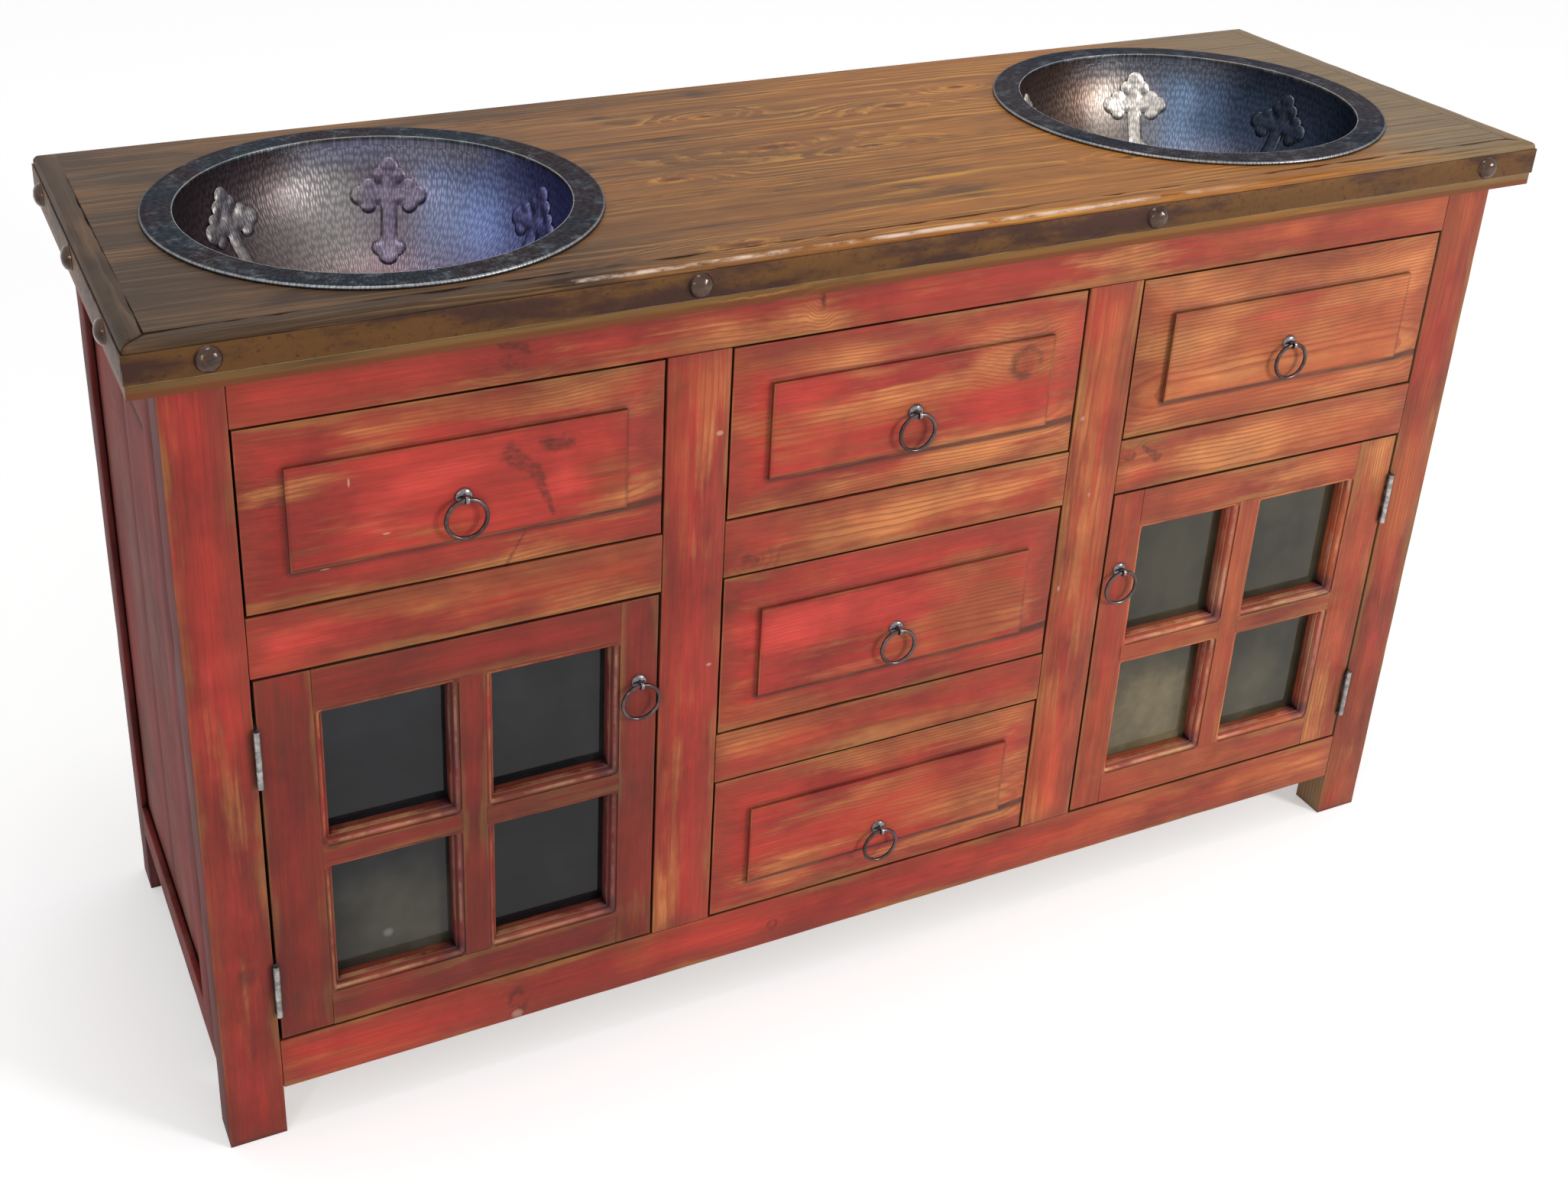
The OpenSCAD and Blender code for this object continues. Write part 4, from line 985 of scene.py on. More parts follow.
def dentDome(bm, depth, pace, away):
    bm.normal_update()
    for vert in bm.verts:
        if vert.co.z > 1e-5:
            vert.co -= vert.normal * depth * (0.5 + 0.5 * noise.noise(vert.co * pace + away))


def addTo(bm, part):
    mesh = bpy.data.meshes.new("part")
    part.to_mesh(mesh)
    part.free()
    bm.from_mesh(mesh)
    bpy.data.meshes.remove(mesh)


# Painted front, sides and legs

paintedBoards = {  # how far each is rubbed
    "stile_left": -0.10, "stile_right": 0.0, "top_rail": -0.02, "bottom_rail": -0.06, "cross_rails": 0.03,
}
boardLook = {"pitch": 0.03, "edge": 0.0012, "depth": 0.00035}  # pitch of the grid, rounding, wear
panelLook = {"pitch": 0.05, "edge": 0.0008, "depth": 0.0003}


def dressBoards(node, materials, tone=0.0, look=boardLook, pick=None):
    bm = workpiece(node)
    cutGrid(bm, look["pitch"])
    roundEdges(bm, sharpEdges(bm), look["edge"])
    markGrain(bm, node, tone)
    markWash(bm)
    weather(bm, look["depth"], seed=len(node))
    if pick:
        bm.normal_update()
        for face in bm.faces:
            face.material_index = pick(face)
    return asPiece(bm, node + "_worn", [node], materials)


for name, tone in paintedBoards.items():
    dressBoards(name, [frontRed], tone)

legLook = {"pitch": 0.03, "edge": 0.0045, "depth": 0.0005, "tone": -0.12}


def dressLeg(node, side, front):
    def pick(face):
        # the finish of a face: 0 is the front's paint, 1 the sides' paint, which is darker as painted shade,
        # and 2 bare wood
        if face.normal.x * side > 0.6:
            return 1
        if face.normal.y < -0.3:
            return 0 if front else 1
        return 2

    dressBoards(node, [frontRed, shadedSideRed, darkPine], legLook["tone"], legLook, pick)


for end in ("front", "back"):
    for name, side in (("left", -1), ("right", 1)):
        dressLeg(f"leg_{end}_{name}", side, end == "front")

for name in ("side_frame_left", "side_frame_right"):
    dressBoards(name, [shadedSideRed], 0.0)
dressBoards("side_panels", [shadedPanelRed], 0.05, panelLook)
print("painted boards made")

# Inside boards and drawer boxes

insideLook = {"pitch": 0.08, "edge": 0.0008, "depth": 0.0002}
drawerTones = {"left": -0.09, "right": 0.20, "upper": 0.08, "middle": -0.03, "lower": -0.03}  # how rubbed
for name in ("back_rails", "back_panel", "floor_board", "partitions", "drawer_runners"):
    dressBoards(name, [darkPine], 0.0, insideLook)
for name in drawerTones:
    dressBoards(f"drawer_{name}_box", [barePine], 0.0, insideLook)
print("inside made")

# Top: planks, edging, iron band and nails

topLook = {
    "pitch": 0.04, "edgingPitch": 0.012, "lip": 0.0055, "edge": 0.0008, "lipWear": 0.0016,
    "notch": (-0.376, 0.009, 0.003),  # where the front edge is dented: x, half length, depth
    "pale": (0.40, 0.2),  # x at which the pale lip ends on the right, and the length over which it fades
    "wearDown": 0.008, "wearPace": 40, "wearMore": 0.25, "front": 0.01,
}


def dressPlanks():
    bm = workpiece("top_planks")
    cutGrid(bm, topLook["pitch"])
    markGrain(bm, "top", 0.0, along=0, through=2)
    asPiece(bm, "top_planks_stained", ["top_planks"], [stainedTop])


def dressEdging():
    bm = workpiece("top_edging")
    low, high = cornersOf(bm.verts)
    cutGrid(bm, topLook["edgingPitch"])

    def atLip(vert):
        outside = vert.co.y < low.y + 1e-4 or abs(vert.co.x) > high.x - 1e-4
        return outside and vert.co.z > high.z - 1e-4

    outer = [e for e in sharpEdges(bm) if all(atLip(v) for v in e.verts)]
    roundEdges(bm, outer, topLook["lip"], 4)
    roundEdges(bm, sharpEdges(bm, 50), topLook["edge"], 2)
    markGrain(bm, "edging", 0.0, through=2)
    bm.normal_update()
    # marks the front edge worn pale, partly a painted highlight along its rounding
    lip = bm.verts.layers.float.new("lip")
    place, width, deep = topLook["notch"]
    paleEnd, fade = topLook["pale"]
    for vert in bm.verts:
        outside = vert.co.y < low.y + topLook["lip"] * 0.75
        if outside and vert.co.z > high.z - topLook["lip"] * 0.6 and vert.co.x > place:
            vert[lip] = min(1.0, max(0.0, (paleEnd - vert.co.x) / fade))
    for vert in bm.verts:
        if vert.co.z > high.z - topLook["wearDown"] and 0.1 < vert.normal.z < 0.99:
            chance = noise.noise(vert.co * topLook["wearPace"]) + topLook["wearMore"]
            wear = topLook["lipWear"] * max(0.0, chance)
            if vert.co.y < low.y + topLook["front"]:
                wear += deep * math.exp(-((vert.co.x - place) / width) ** 2)
            vert.co -= vert.normal * wear
    asPiece(bm, "top_edging_worn", ["top_edging"], [stainedTop])


bandLook = {"pitch": 0.012, "edge": 0.0005, "depth": 0.0005, "chips": 0.6, "pace": 30}


def dressBand():
    bm = workpiece("iron_band")
    cutGrid(bm, bandLook["pitch"])
    roundEdges(bm, sharpEdges(bm, 40), bandLook["edge"])
    weather(bm, bandLook["depth"], bandLook["chips"], bandLook["pace"])
    asPiece(bm, "iron_band_wavy", ["iron_band"], [strapIron])


nailLook = {"rings": 9, "steps": 30, "dent": 0.0007, "dentPace": 210}


def dressNails():
    bm = bmesh.new()
    source = workpiece("band_nails")
    for count, island in enumerate(islandsOf(source)):
        low, high = cornersOf(island)
        middle, size = (low + high) / 2, high - low
        axis = min(range(3), key=lambda a: size[a])
        out = -1 if axis == 1 else math.copysign(1, middle.x)
        radius, height = max(size) / 2, size[axis]
        part = bmesh.new()
        turns = [math.pi / 2 * k / nailLook["rings"] for k in range(nailLook["rings"] + 1)]
        spun(part, [(radius * math.sin(t), height * math.cos(t)) for t in turns], nailLook["steps"])
        dentDome(part, nailLook["dent"], nailLook["dentPace"], Vector((count, 0, 0)))
        direction = Vector([out if a == axis else 0 for a in range(3)])
        base = Vector(middle)
        base[axis] = low[axis] if out > 0 else high[axis]
        turn = direction.to_track_quat("Z", "X").to_matrix().to_4x4()
        turn.translation = base
        bmesh.ops.transform(part, matrix=turn, verts=part.verts)
        addTo(bm, part)
    source.free()
    asPiece(bm, "band_nails_forged", ["band_nails"], [nailIron], 60)


dressPlanks()
dressEdging()
dressBand()
dressNails()
print("top made")

# Sinks: one spun sheet with its folded rim, and six raised crosses in each bowl

sinkLook = {
    "bowlRadius": 0.188, "curve": 0.148, "wall": 0.002, "sheet": 0.002, "rim": 0.004, "drain": 0.022,
    "step": 0.0021, "steps": 480, "dent": 0.00016, "dentSize": 0.013, "columns": 0.16,
}
crossLook = {
    "count": 6, "turn": 10, "height": 0.113, "width": 0.080, "stem": 0.017, "bud": 0.010, "lobe": 0.008,
    "lobeDrop": 0.019, "drop": 0.020, "relief": 0.0035, "seat": 0.00005, "pillow": 0.0085, "lip": 0.15,
    "pitch": 0.0017, "soft": 0.0016,
}


def sheetAt(spot):
    # round the bowl and down along its sheet, both in metres
    look = sinkLook
    radius = math.hypot(spot.x, spot.y)
    down = look["bowlRadius"] - radius
    if radius < look["bowlRadius"] and spot.z < 0:
        flat = look["bowlRadius"] - look["curve"]
        turn = math.atan2(-spot.z - look["wall"], max(radius - flat, 1e-6))
        down = look["wall"] + look["curve"] * turn + max(0.0, flat - radius)
    return math.atan2(spot.y, spot.x) * look["columns"], down


def layOutSheet(bm, centres):
    layer = bm.loops.layers.uv.new("sheet")
    around = math.tau * sinkLook["columns"]
    for face in bm.faces:
        middle = face.calc_center_median()
        centre = min(centres, key=lambda c: (c - middle).length)
        spots = [sheetAt(loop.vert.co - centre) for loop in face.loops]
        most = max(u for u, v in spots)
        for loop, (u, v) in zip(face.loops, spots):
            loop[layer].uv = (u + around if most - u > around / 2 else u, v)


def sinkProfile(rimRadius):
    look = sinkLook
    flat = look["bowlRadius"] - look["curve"]
    rings = int(look["curve"] * math.pi / 2 / look["step"])
    inner = [(look["bowlRadius"] + 0.0006, look["rim"]), (look["bowlRadius"], look["rim"] - 0.0008),
             (look["bowlRadius"], 0.0)]
    for k in range(rings + 1):
        turn = math.pi / 2 * k / rings
        inner.append((flat + look["curve"] * math.cos(turn), -look["wall"] - look["curve"] * math.sin(turn)))
    inner += [(look["drain"] + (flat - look["drain"]) * k / 4, inner[-1][1]) for k in (3, 2, 1, 0)]
    outer, far = [], look["curve"] + look["sheet"]
    for k in range(17):
        turn = math.pi / 2 * (1 - k / 16)
        outer.append((flat + far * math.cos(turn), -look["wall"] - far * math.sin(turn)))
    outer = [(look["drain"], outer[0][1])] + outer + [(look["bowlRadius"] + look["sheet"], 0.0)]
    edge = [(rimRadius - 0.0012, 0.0), (rimRadius - 0.0003, 0.0007), (rimRadius, 0.002),
            (rimRadius - 0.0004, 0.0033), (rimRadius - 0.0014, look["rim"])]
    width = rimRadius - look["bowlRadius"] - 0.002
    flats = int(width / look["step"])
    top = [(rimRadius - 0.0014 - width * k / flats, look["rim"]) for k in range(1, flats)]
    return inner + outer + edge + top


def dressSink(name, tint):
    low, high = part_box(name)
    centre = Vector(((low.x + high.x) / 2, (low.y + high.y) / 2, high.z - sinkLook["rim"]))
    bm = bmesh.new()
    points = [bm.verts.new((radius, 0, z)) for radius, z in sinkProfile((high.x - low.x) / 2)]
    for first, second in zip(points, points[1:] + points[:1]):
        bm.edges.new((first, second))
    turnRound(bm, (0, 0, 1), sinkLook["steps"])
    bmesh.ops.remove_doubles(bm, verts=bm.verts, dist=1e-6)
    bmesh.ops.recalc_face_normals(bm, faces=bm.faces)
    bm.normal_update()
    moves = []
    for vert in bm.verts:
        u, v = sheetAt(vert.co)
        size = sinkLook["dentSize"]
        wave = noise.noise(Vector((u / size, v / size, centre.x)))
        facing = vert.normal.z > 0.2 or vert.normal.xy.dot(vert.co.xy) < 0
        moves.append(-sinkLook["dent"] * (0.5 + 0.5 * wave) if facing else 0)
    for vert, move in zip(bm.verts, moves):
        vert.co += vert.normal * move
    layOutSheet(bm, [Vector()])
    bmesh.ops.translate(bm, vec=centre, verts=bm.verts)
    asPiece(bm, name + "_hammered", [name], [tint], 50)
    return centre


# The copper's zones by x, its pale band under the rim and the crosses' colours are painted reflections and
# painted highlights laid by place across each bowl; the rim's mottle is the metal's own colour
leftCopper = {  # zones from left to right, low in the bowl, under its rim, on the rim, and the crosses by x
    "zones": [(-0.155, (0.085, 0.062, 0.06, 1)), (-0.075, (0.27, 0.25, 0.245, 1)),
              (-0.02, (0.17, 0.145, 0.175, 1)), (0.04, (0.20, 0.235, 0.38, 1)),
              (0.10, (0.22, 0.28, 0.55, 1)), (0.155, (0.10, 0.11, 0.28, 1))],
    "low": (0.13, 0.075, 0.075, 1), "high": (0.40, 0.41, 0.52, 1), "rim": (0.037, 0.046, 0.050, 1),
    "rimWarm": (0.05, 0.038, 0.034, 1), "rimPale": (0.15, 0.175, 0.185, 1),
    "crosses": [(0.26, 0.24, 0.23, 1), (0.17, 0.14, 0.20, 1), (0.13, 0.13, 0.30, 1)],
    "change": (-0.07, -0.035),
}
rightCopper = {
    "zones": [(-0.165, (0.10, 0.066, 0.052, 1)), (-0.085, (0.13, 0.085, 0.066, 1)),
              (-0.045, (0.36, 0.30, 0.26, 1)), (-0.02, (0.25, 0.225, 0.23, 1)),
              (0.03, (0.16, 0.225, 0.34, 1)), (0.075, (0.07, 0.10, 0.165, 1)),
              (0.12, (0.035, 0.05, 0.085, 1))],
    "low": (0.14, 0.105, 0.10, 1), "high": (0.22, 0.23, 0.27, 1), "rim": (0.026, 0.032, 0.035, 1),
    "rimWarm": (0.055, 0.046, 0.042, 1), "rimPale": (0.155, 0.16, 0.17, 1),
    "crosses": [(0.75, 0.69, 0.62, 1), (0.10, 0.11, 0.14, 1), (0.03, 0.04, 0.06, 1)],
    "change": (0.0, 0.03),
}


copperLook = {
    "tint": (0.45, 0.45, 0.5, 1), "marks": (390, 120, 1), "markDepth": 0.00022, "slant": (0.91, -0.41),
    "line": (-0.0022, -0.0004), "rimEdgeHighlight": (0.60, 0.62, 0.64, 1), "crossEdgeHighlight": (0.60, 0.54, 0.52, 1),
    "grimeAndShade": (0.02, 0.016, 0.02, 1), "worn": (0.8, 0.78, 0.8, 1),
}


def makeCopper(name, look, centre, rimRadius):
    material, tree, shader = newMaterial(name, Metallic=0.95, Specular_Tint=copperLook["tint"])
    at = objectVector(tree)
    axes = axesOf(tree, vectorMath(tree, "SUBTRACT", at, centre)[0])
    sheet = put(tree, "UVMap", uv_map="sheet").outputs[0]
    feeds = {"Vector": stretch(tree, sheet, copperLook["marks"]), "Scale": 1.0, "Randomness": 0.65}
    marks = put(tree, "TexVoronoi", feeds, voronoi_dimensions="2D").outputs["Distance"]
    cloudy = cloud(tree, at, scale=9, detail=4)
    slide = scaled(tree, axes[0], copperLook["slant"][0], scaled(tree, cloudy, 0.08, -0.04))
    slide = scaled(tree, axes[1], copperLook["slant"][1], slide)
    # painted reflections: the colour changes across the bowl from left to right
    zones = look["zones"]
    color = zones[0][1]
    for (first, _), (second, after) in zip(zones, zones[1:]):
        color = mixColor(tree, ease(tree, slide, first, second), color, after)
    deep = ease(tree, axes[2], -0.07, -0.135)
    color = cover(tree, color, look["low"], deep, 0.7)
    # painted highlight: a pale band below the rim
    high = times(tree, ease(tree, axes[2], -0.035, -0.006), ease(tree, slide, -0.13, -0.03))
    high = times(tree, high, ease(tree, slide, 0.13, 0.05))
    color = cover(tree, color, look["high"], high, 0.8)
    # the crosses' colours by place are painted reflection too
    crossColor = mixColor(tree, ease(tree, slide, *look["change"]), *look["crosses"][:2])
    crossColor = mixColor(tree, ease(tree, slide, 0.06, 0.10), crossColor, look["crosses"][2])
    raised = ownValue(tree, "raised")
    color = cover(tree, color, crossColor, raised, 0.8)
    rim = ease(tree, axes[2], -0.002, 0.002)
    rimColor = mixColor(tree, ease(tree, cloudy, 0.4, 0.6), look["rim"], look["rimWarm"])
    speck = cloud(tree, at, scale=60, detail=6, roughness=0.75)
    rimColor = cover(tree, rimColor, look["rimPale"], ease(tree, speck, 0.48, 0.70), 0.8)
    color = mixColor(tree, rim, color, rimColor)
    # painted highlight: a pale line round the rim's outer edge
    flat = put(tree, "CombineXYZ", {0: axes[0], 1: axes[1]}).outputs[0]
    line = ease(tree, lengthOf(tree, flat), *[rimRadius + more for more in copperLook["line"]])
    color = cover(tree, color, copperLook["rimEdgeHighlight"], line, 0.40)
    edge = useGroup(tree, edgeGroup, {"Vector": at, "Width": 0.0024})
    pits = cloud(tree, at, scale=240, detail=3)
    # painted light and shade on the hammer marks: lighter in their middles, darker at their rims
    color = shaded(tree, color, ease(tree, marks, 0.62, 0.05), 0.55, 0.70)
    # painted highlight on the raised crosses' edges
    color = cover(tree, color, copperLook["crossEdgeHighlight"], edge["Edge"], times(tree, raised, 0.45))
    # darker round the crosses' feet and in creases: patina and painted shade
    color = cover(tree, color, copperLook["grimeAndShade"], edge["GrimeAndShade"], scaled(tree, raised, -0.5, 0.6))
    # painted highlight on the rim's rounded edges
    color = cover(tree, color, copperLook["worn"], edge["Edge"], rim)
    relief = scaled(tree, pits, 0.15, ease(tree, marks, 0.7, 0.0))
    finish(tree, shader, color, scaled(tree, pits, 0.25, 0.27), relief, copperLook["markDepth"], 0.7)
    return material


def crossShapes():
    # a cross's circles and boxes; its head is at 0, 0 and its foot at 0, -height
    look = crossLook
    half, arm, stem = look["width"] / 2, -look["width"] / 2, look["stem"] / 2
    tips = [(0, 0, 0, 1), (0, -look["height"], 0, -1), (half, arm, 1, 0), (-half, arm, -1, 0)]
    circles = []
    for x, y, dx, dy in tips:
        circles.append((x - dx * look["bud"], y - dy * look["bud"], look["bud"]))
        for side in (-1, 1):
            wide = side * look["bud"]
            aside, down = x - dx * look["lobeDrop"] + dy * wide, y - dy * look["lobeDrop"] + dx * wide
            circles.append((aside, down, look["lobe"]))
    boxes = [(-stem, stem, look["bud"] - look["height"], -look["bud"]),
             (look["bud"] - half, half - look["bud"], arm - stem, arm + stem)]
    return circles, boxes


def crossDepth(x, y, circles, boxes):
    # how far inside the outline a place is, with soft valleys where two shapes meet
    soft = crossLook["soft"]
    depths = [radius - math.hypot(x - cx, y - cy) for cx, cy, radius in circles]
    depths += [min(x - x0, x1 - x, y - y0, y1 - y) for x0, x1, y0, y1 in boxes]
    most = max(depths)
    return most + soft * math.log(sum(math.exp((depth - most) / soft) for depth in depths))


def crossSheet(circles, boxes):
    pitch = crossLook["pitch"]
    points, edges = [], []

    def ring(spots):
        first, count = len(points), len(spots)
        points.extend(Vector(spot) for spot in spots)
        edges.extend((first + k, first + (k + 1) % count) for k in range(count))

    for x, y, radius in circles:
        steps = round(math.tau * radius / pitch)
        turns = [math.tau * k / steps for k in range(steps)]
        ring([(x + radius * math.cos(t), y + radius * math.sin(t)) for t in turns])
    for x0, x1, y0, y1 in boxes:
        wide, tall = round((x1 - x0) / pitch), round((y1 - y0) / pitch)
        sides = [(x0 + (x1 - x0) * k / wide, y0) for k in range(wide)]
        sides += [(x1, y0 + (y1 - y0) * k / tall) for k in range(tall)]
        sides += [(x1 - (x1 - x0) * k / wide, y1) for k in range(wide)]
        sides += [(x0, y1 - (y1 - y0) * k / tall) for k in range(tall)]
        ring(sides)
    half, height = crossLook["width"] / 2, crossLook["height"]
    for row in range(int(height / pitch / 0.87) + 1):
        for column in range(int(2 * half / pitch) + 1):
            spot = (-half + (column + row % 2 / 2) * pitch, -row * pitch * 0.87)
            if crossDepth(*spot, circles, boxes) > pitch * 0.7:
                points.append(Vector(spot))
    flat = geometry.delaunay_2d_cdt(points, edges, [], 1, 1e-7)
    return flat[0], flat[2]


def onBowl(x, y, height):
    # straight out from the cross's plane until it is that height from the bowl's wall
    look = sinkLook
    flat = look["bowlRadius"] - look["curve"]
    tilt = (crossLook["drop"] + crossLook["height"] / 2 - look["wall"]) / look["curve"]
    up = y + crossLook["height"] / 2
    near, far = look["curve"] / 2, look["curve"] * 1.5
    for _ in range(26):
        reach = (near + far) / 2
        out = flat + reach * math.cos(tilt) + up * math.sin(tilt)
        down = up * math.cos(tilt) - reach * math.sin(tilt)
        if math.hypot(math.hypot(out, x) - flat, down) < look["curve"] - height:
            near = reach
        else:
            far = reach
    return Vector((out, x, down - look["wall"]))


def dressCrosses(centres, tints):
    look = crossLook
    circles, boxes = crossShapes()
    spots, faces = crossSheet(circles, boxes)
    tops, feet = [], []
    for x, y in spots:
        inside = min(1.0, max(0.0, crossDepth(x, y, circles, boxes)) / look["pillow"])
        rise = look["lip"] + (1 - look["lip"]) * math.sqrt(1 - (1 - inside) ** 2)
        tops.append(onBowl(x, y, look["relief"] * rise))
        feet.append(onBowl(x, y, look["seat"]))
    sides = {}
    for face in faces:
        for first, second in zip(face, face[1:] + face[:1]):
            key = (min(first, second), max(first, second))
            sides[key] = None if key in sides else (first, second)
    bm = bmesh.new()
    raised = bm.verts.layers.float.new("raised")
    for index, centre in enumerate(centres):
        for count in range(look["count"]):
            turn = Matrix.Rotation(math.radians(look["turn"] + 360 * count / look["count"]), 4, "Z")
            turn.translation = centre
            upper = [bm.verts.new(turn @ spot) for spot in tops]
            lower = [bm.verts.new(turn @ spot) for spot in feet]
            made = [bm.faces.new([upper[k] for k in face]) for face in faces]
            made += [bm.faces.new([lower[k] for k in reversed(face)]) for face in faces]
            for pair in sides.values():
                if pair:
                    first, second = pair
                    made.append(bm.faces.new([upper[second], upper[first], lower[first], lower[second]]))
            for face in made:
                face.material_index = index
    loose = [vert for vert in bm.verts if not vert.link_faces]
    bmesh.ops.delete(bm, geom=loose, context="VERTS")
    for vert in bm.verts:
        vert[raised] = 1.0
    bmesh.ops.recalc_face_normals(bm, faces=bm.faces[:])
    layOutSheet(bm, centres)
    asPiece(bm, "bowl_crosses_raised", ["bowl_crosses"], tints, 40)


sinkCentres, sinkTints = [], []
for name, look in (("sink_left", leftCopper), ("sink_right", rightCopper)):
    low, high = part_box(name)
    middle = ((low.x + high.x) / 2, (low.y + high.y) / 2, high.z - sinkLook["rim"])
    sinkTints.append(makeCopper(name + "_copper", look, middle, (high.x - low.x) / 2))
    sinkCentres.append(dressSink(name, sinkTints[-1]))
dressCrosses(sinkCentres, sinkTints)
print("sinks made")

# Ring pulls: a domed rose, a bent strap for an eye and a forged ring

pullLook = {
    "shank": 0.013, "rose": 0.0085, "dome": 0.004, "strap": 0.0016, "stem": 0.0021, "slit": 0.0002,
    "width": 0.0032, "inset": 0.001, "edge": 0.0003, "dent": 0.0003, "dentPace": 400, "turns": 28,
    "ringWear": (0.00035, 0.8, 90),
}


def dressPull(name):
    low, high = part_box(name + "_pull")
    ringLow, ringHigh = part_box(name + "_ring")
    wire = (ringHigh.y - ringLow.y) / 2
    radius = (ringHigh.z - ringLow.z) / 2 - wire
    centre = (ringLow + ringHigh) / 2
    eye = Vector((centre.x, centre.y, centre.z + radius))
    face = high.y - pullLook["shank"]
    bm = bmesh.new()
    rose, dome = pullLook["rose"], pullLook["dome"]
    profile = [(rose * math.sin(t), dome * (0.12 + 0.88 * math.cos(t))) for t in
               [math.pi / 2 * k / 8 for k in range(9)]]
    spun(bm, profile + [(rose, 0)], 32)
    dentDome(bm, pullLook["dent"], pullLook["dentPace"], eye * 9)
    bmesh.ops.rotate(bm, cent=(0, 0, 0), matrix=Euler((math.pi / 2, 0, 0)).to_matrix(), verts=bm.verts)
    bmesh.ops.translate(bm, vec=(eye.x, face, eye.z), verts=bm.verts)
    # the eye's strap is drawn in the y z plane as one outline with a slit, then given its width
    part = bmesh.new()
    hole = eye.y - low.y - pullLook["strap"]
    outer, stem, slit = hole + pullLook["strap"], pullLook["stem"], pullLook["slit"]
    first, second = math.asin(stem / outer), math.asin(slit / hole)
    turns = [k / pullLook["turns"] for k in range(pullLook["turns"] + 1)]
    back = face - eye.y - pullLook["inset"]
    outline = [(back, stem)]
    outline += [(outer * math.cos(a), outer * math.sin(a)) for a in
                [first + (math.tau - 2 * first) * t for t in turns]]
    outline += [(back, -stem), (back, -slit)]
    outline += [(hole * math.cos(a), hole * math.sin(a)) for a in
                [math.tau - second - (math.tau - 2 * second) * t for t in turns]]
    outline += [(back, slit)]
    width = pullLook["width"]
    flat = part.faces.new([part.verts.new((-width / 2, y, z)) for y, z in outline])
    grown = bmesh.ops.extrude_face_region(part, geom=[flat])["geom"]
    grown = [g for g in grown if isinstance(g, bmesh.types.BMVert)]
    bmesh.ops.translate(part, vec=(width, 0, 0), verts=grown)
    bmesh.ops.recalc_face_normals(part, faces=part.faces[:])
    roundEdges(part, sharpEdges(part, 60), pullLook["edge"])
    bmesh.ops.translate(part, vec=eye, verts=part.verts)
    addTo(bm, part)
    asPiece(bm, name + "_pull_forged", [name + "_pull"], [roseIron], 50)
    bm = bmesh.new()
    bmesh.ops.create_circle(bm, cap_ends=False, segments=16, radius=wire)
    bmesh.ops.translate(bm, vec=(radius, 0, 0), verts=bm.verts)
    turnRound(bm, (0, 1, 0), 72)
    bmesh.ops.recalc_face_normals(bm, faces=bm.faces[:])
    bmesh.ops.translate(bm, vec=centre, verts=bm.verts)
    weather(bm, *pullLook["ringWear"], seed=centre.x)
    asPiece(bm, name + "_ring_forged", [name + "_ring"], [ringIron], 60)


for name in [f"drawer_{place}" for place in drawerTones] + ["door_left", "door_right"]:
    dressPull(name)
print("pulls made")

# Drawer fronts

frontLook = {"pitch": 0.02, "edge": 0.0011, "depth": 0.0004}
for name, tone in drawerTones.items():
    dressBoards(f"drawer_{name}_front", [drawerRed], tone, frontLook)
print("drawers made")

# Doors: each frame is sawn into its boards, so that joints show and grain follows them

def sawn(bm, point, normal):
    # takes off what lies beyond the cut and closes it
    cut = cutAcross(bm, point, normal, clear_outer=True)
    edges = [g for g in cut["geom_cut"] if isinstance(g, bmesh.types.BMEdge)]
    bmesh.ops.edgenet_fill(bm, edges=edges)


def doorBoard(node, low, high):
    bm = workpiece(node)
    boxLow, boxHigh = cornersOf(bm.verts)
    for axis in (0, 2):
        for limit, sign in ((low[axis], -1), (high[axis], 1)):
            if boxLow[axis] + 1e-5 < limit < boxHigh[axis] - 1e-5:
                sawn(bm, unitAlong(axis) * limit, unitAlong(axis) * sign)
    bmesh.ops.recalc_face_normals(bm, faces=bm.faces[:])
    return bm


def mouldSection(thick):
    # round the strip: how far from the opening, how far back, and whether it follows the pane's square corner
    look = mouldLook
    width, depth, lip, nick = look["width"], look["depth"], look["lip"], look["nick"]
    bead = width - lip - look["flat"]
    section = [(width - nick, thick, True), (width - nick, 0.0, True), (width - 2 * nick, 0.0, False),
               (width - 3 * nick, lip, False), (width - lip, lip, False)]
    for k in range(1, 9):
        turn = math.pi / 2 * k / 8
        section.append((width - lip - bead * math.sin(turn), depth - bead * math.cos(turn), False))
    section += [(0.0, depth, False), (0.0, look["glass"], False), (look["rebate"], look["glass"], True)]
    return section + [(look["rebate"], thick, True)]


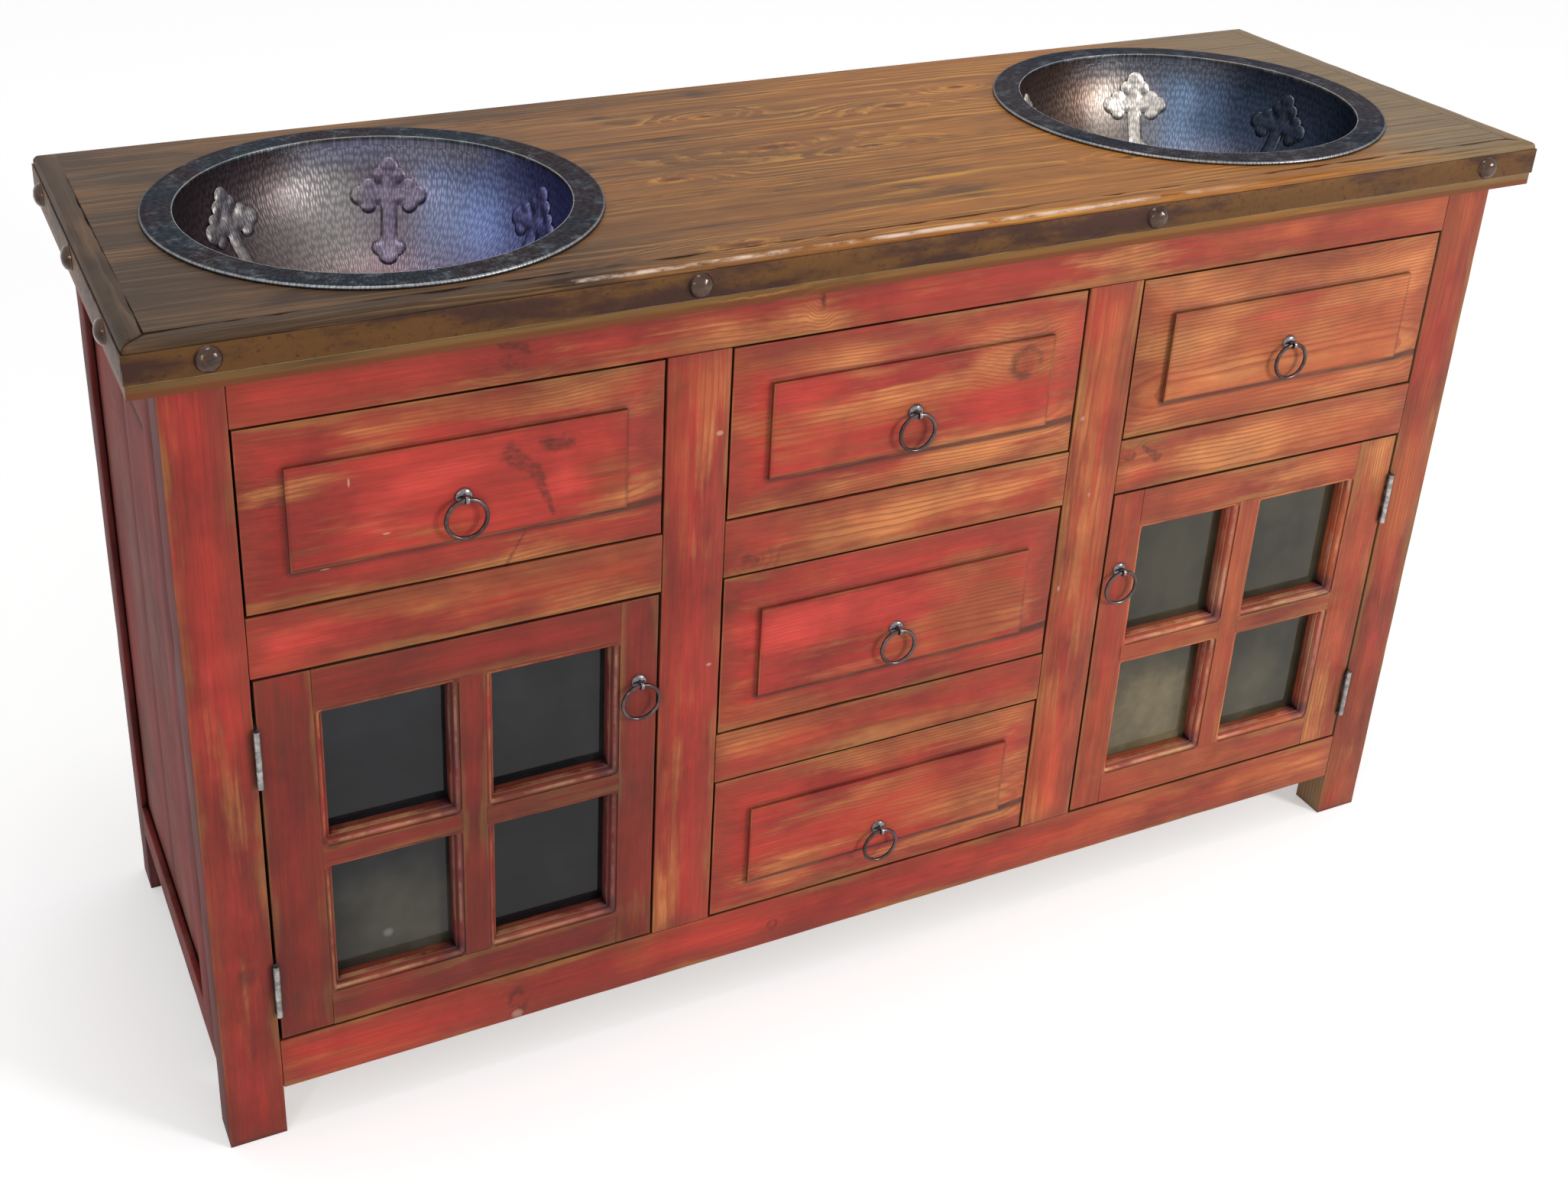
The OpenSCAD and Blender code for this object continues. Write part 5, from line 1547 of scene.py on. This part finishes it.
def mouldStrip(centre, outward, along, reach, face, thick):
    # one side of a pane's moulding, mitred at both ends; reach is the opening's half size outward and along
    look = mouldLook
    turns = [math.pi / 4 * k / look["turns"] for k in range(look["turns"] + 1)]
    steps = int(2 * reach[1] / look["pitch"])
    stations = [(-reach[1], -turn) for turn in reversed(turns)]
    stations += [(reach[1] * (2 * k / steps - 1), 0.0) for k in range(1, steps)]
    stations += [(reach[1], turn) for turn in turns]
    bm = bmesh.new()
    rows = []
    for place, turn in stations:
        base = centre + outward * reach[0] + along * place
        way = outward * math.cos(turn) + along * math.sin(turn)
        row = []
        for away, back, square in mouldSection(thick):
            spot = base + way * (away / math.cos(turn) if square else away)
            row.append(bm.verts.new((spot.x, face + back, spot.y)))
        rows.append(row)
    for first, second in zip(rows, rows[1:]):
        for k in range(len(first)):
            bm.faces.new((first[k - 1], first[k], second[k], second[k - 1]))
    bm.faces.new(rows[0])
    bm.faces.new(list(reversed(rows[-1])))
    bmesh.ops.remove_doubles(bm, verts=bm.verts, dist=1e-6)
    bmesh.ops.recalc_face_normals(bm, faces=bm.faces[:])
    return bm


def addMoulds(bm, name, panes, size, tone, face, thick):
    sides = [(Vector((0, -1)), 1), (Vector((1, 0)), 2), (Vector((0, 1)), 0), (Vector((-1, 0)), 0)]
    for index, centre in enumerate(panes):
        for count, (outward, paint) in enumerate(sides):
            upright = bool(outward.x)
            reach = size if upright else (size[1], size[0])
            along = Vector((-outward.y, outward.x))
            part = mouldStrip(centre, outward, along, reach, face, thick)
            markGrain(part, f"{name} {index} {count}", tone, along=2 if upright else 0, through=1)
            half = part.verts.layers.float_vector["half"]
            bruise = part.verts.layers.float.new("bruise")
            corner = centre + Vector((size[0], -size[1]))
            for vert in part.verts:
                vert[half] += Vector((mouldLook["margin"], 0, mouldLook["margin"]))
                away = (Vector((vert.co.x, vert.co.z)) - corner).length
                vert[bruise] = max(0.0, 1.0 - away / mouldLook["bruise"]) ** 0.5
            markWash(part)
            weather(part, mouldLook["wear"], seed=index * 4 + count)
            for face_ in part.faces:
                face_.material_index = paint
            addTo(bm, part)


def dressDoor(name, side):
    node = name + "_frame"
    low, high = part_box(node)
    look = doorLook
    inner, outer = (low.x, high.x) if side > 0 else (-high.x, -low.x)
    paneIn, paneOut = inner + look["pullStile"], outer - look["hingeStile"]
    paneLow, paneHigh = low.z + look["bottomRail"], high.z - look["topRail"]
    middle, half = (paneIn + paneOut) / 2, look["bar"] / 2
    level, sill = (paneLow + paneHigh) / 2, look["sill"] / 2
    boards = [
        ((inner, low.z), (paneIn, high.z), 2), ((paneOut, low.z), (outer, high.z), 2),
        ((paneIn, paneHigh), (paneOut, high.z), 0), ((paneIn, low.z), (paneOut, paneLow), 0),
        ((middle - half, paneLow), (middle + half, paneHigh), 2),
        ((paneIn, level - sill), (middle - half, level + sill), 0),
        ((middle + half, level - sill), (paneOut, level + sill), 0),
    ]
    wide, tall = (paneOut - paneIn) / 2 - half, (paneHigh - paneLow) / 2 - sill
    size = (wide / 2 - mouldLook["width"], tall / 2 - mouldLook["width"])
    panes = [Vector((x * side, z)) for x in (paneIn + wide / 2, paneOut - wide / 2)
             for z in (paneLow + tall / 2, paneHigh - tall / 2)]

    cuts = [(0, (middle - half) * side), (0, (middle + half) * side)]
    cuts += [(2, place) for place in (paneLow, level - sill, level + sill, paneHigh)]

    def byPane(spot):
        # such places meet a moulding, so that they stay sharp and in line
        far = [(abs(spot.x - pane.x) - wide / 2, abs(spot.z - pane.y) - tall / 2) for pane in panes]
        return any(max(pair) < 1e-4 for pair in far)

    bm = bmesh.new()
    for count, (first, last, along) in enumerate(boards):
        xs = sorted((first[0] * side, last[0] * side))
        part = doorBoard(node, Vector((xs[0], 0, first[1])), Vector((xs[1], 0, last[1])))
        cutGrid(part, look["pitch"])
        for axis, place in cuts:
            cutAcross(part, unitAlong(axis) * place, unitAlong(axis))
        edges = [e for e in sharpEdges(part, 40) if not byPane((e.verts[0].co + e.verts[1].co) / 2)]
        roundEdges(part, edges, look["edge"], 1)
        markGrain(part, f"{name} {count}", look["tones"][side], along=along, through=1)
        markWash(part)
        kept = [(vert, vert.co.copy()) for vert in part.verts if byPane(vert.co)]
        weather(part, look["depth"], seed=count)
        for vert, spot in kept:
            vert.co = spot
        addTo(bm, part)
    addMoulds(bm, name, panes, size, look["tones"][side], low.y, high.y - low.y)
    asPiece(bm, node + "_worn", [node], [frontRed, sillRed, jambRed], 30)


beadLook = {"pitch": 0.2, "edge": 0.0004, "depth": 0.0001}
for name, side in (("door_left", -1), ("door_right", 1)):
    dressDoor(name, side)
    dressBoards(name + "_beads", [darkPine], 0.0, beadLook)


def carryOver(node, material):
    shown = nodes[node]
    shown.data.materials.clear()
    shown.data.materials.append(material)


for name in ("door_left_glass", "door_right_glass"):
    carryOver(name, smokedPane)
for name in ("hinge_leaves", "hinge_pins", "door_left_fittings", "door_right_fittings"):
    carryOver(name, zincPlate)
carryOver("door_catches", catchBrown)
print("doors made")
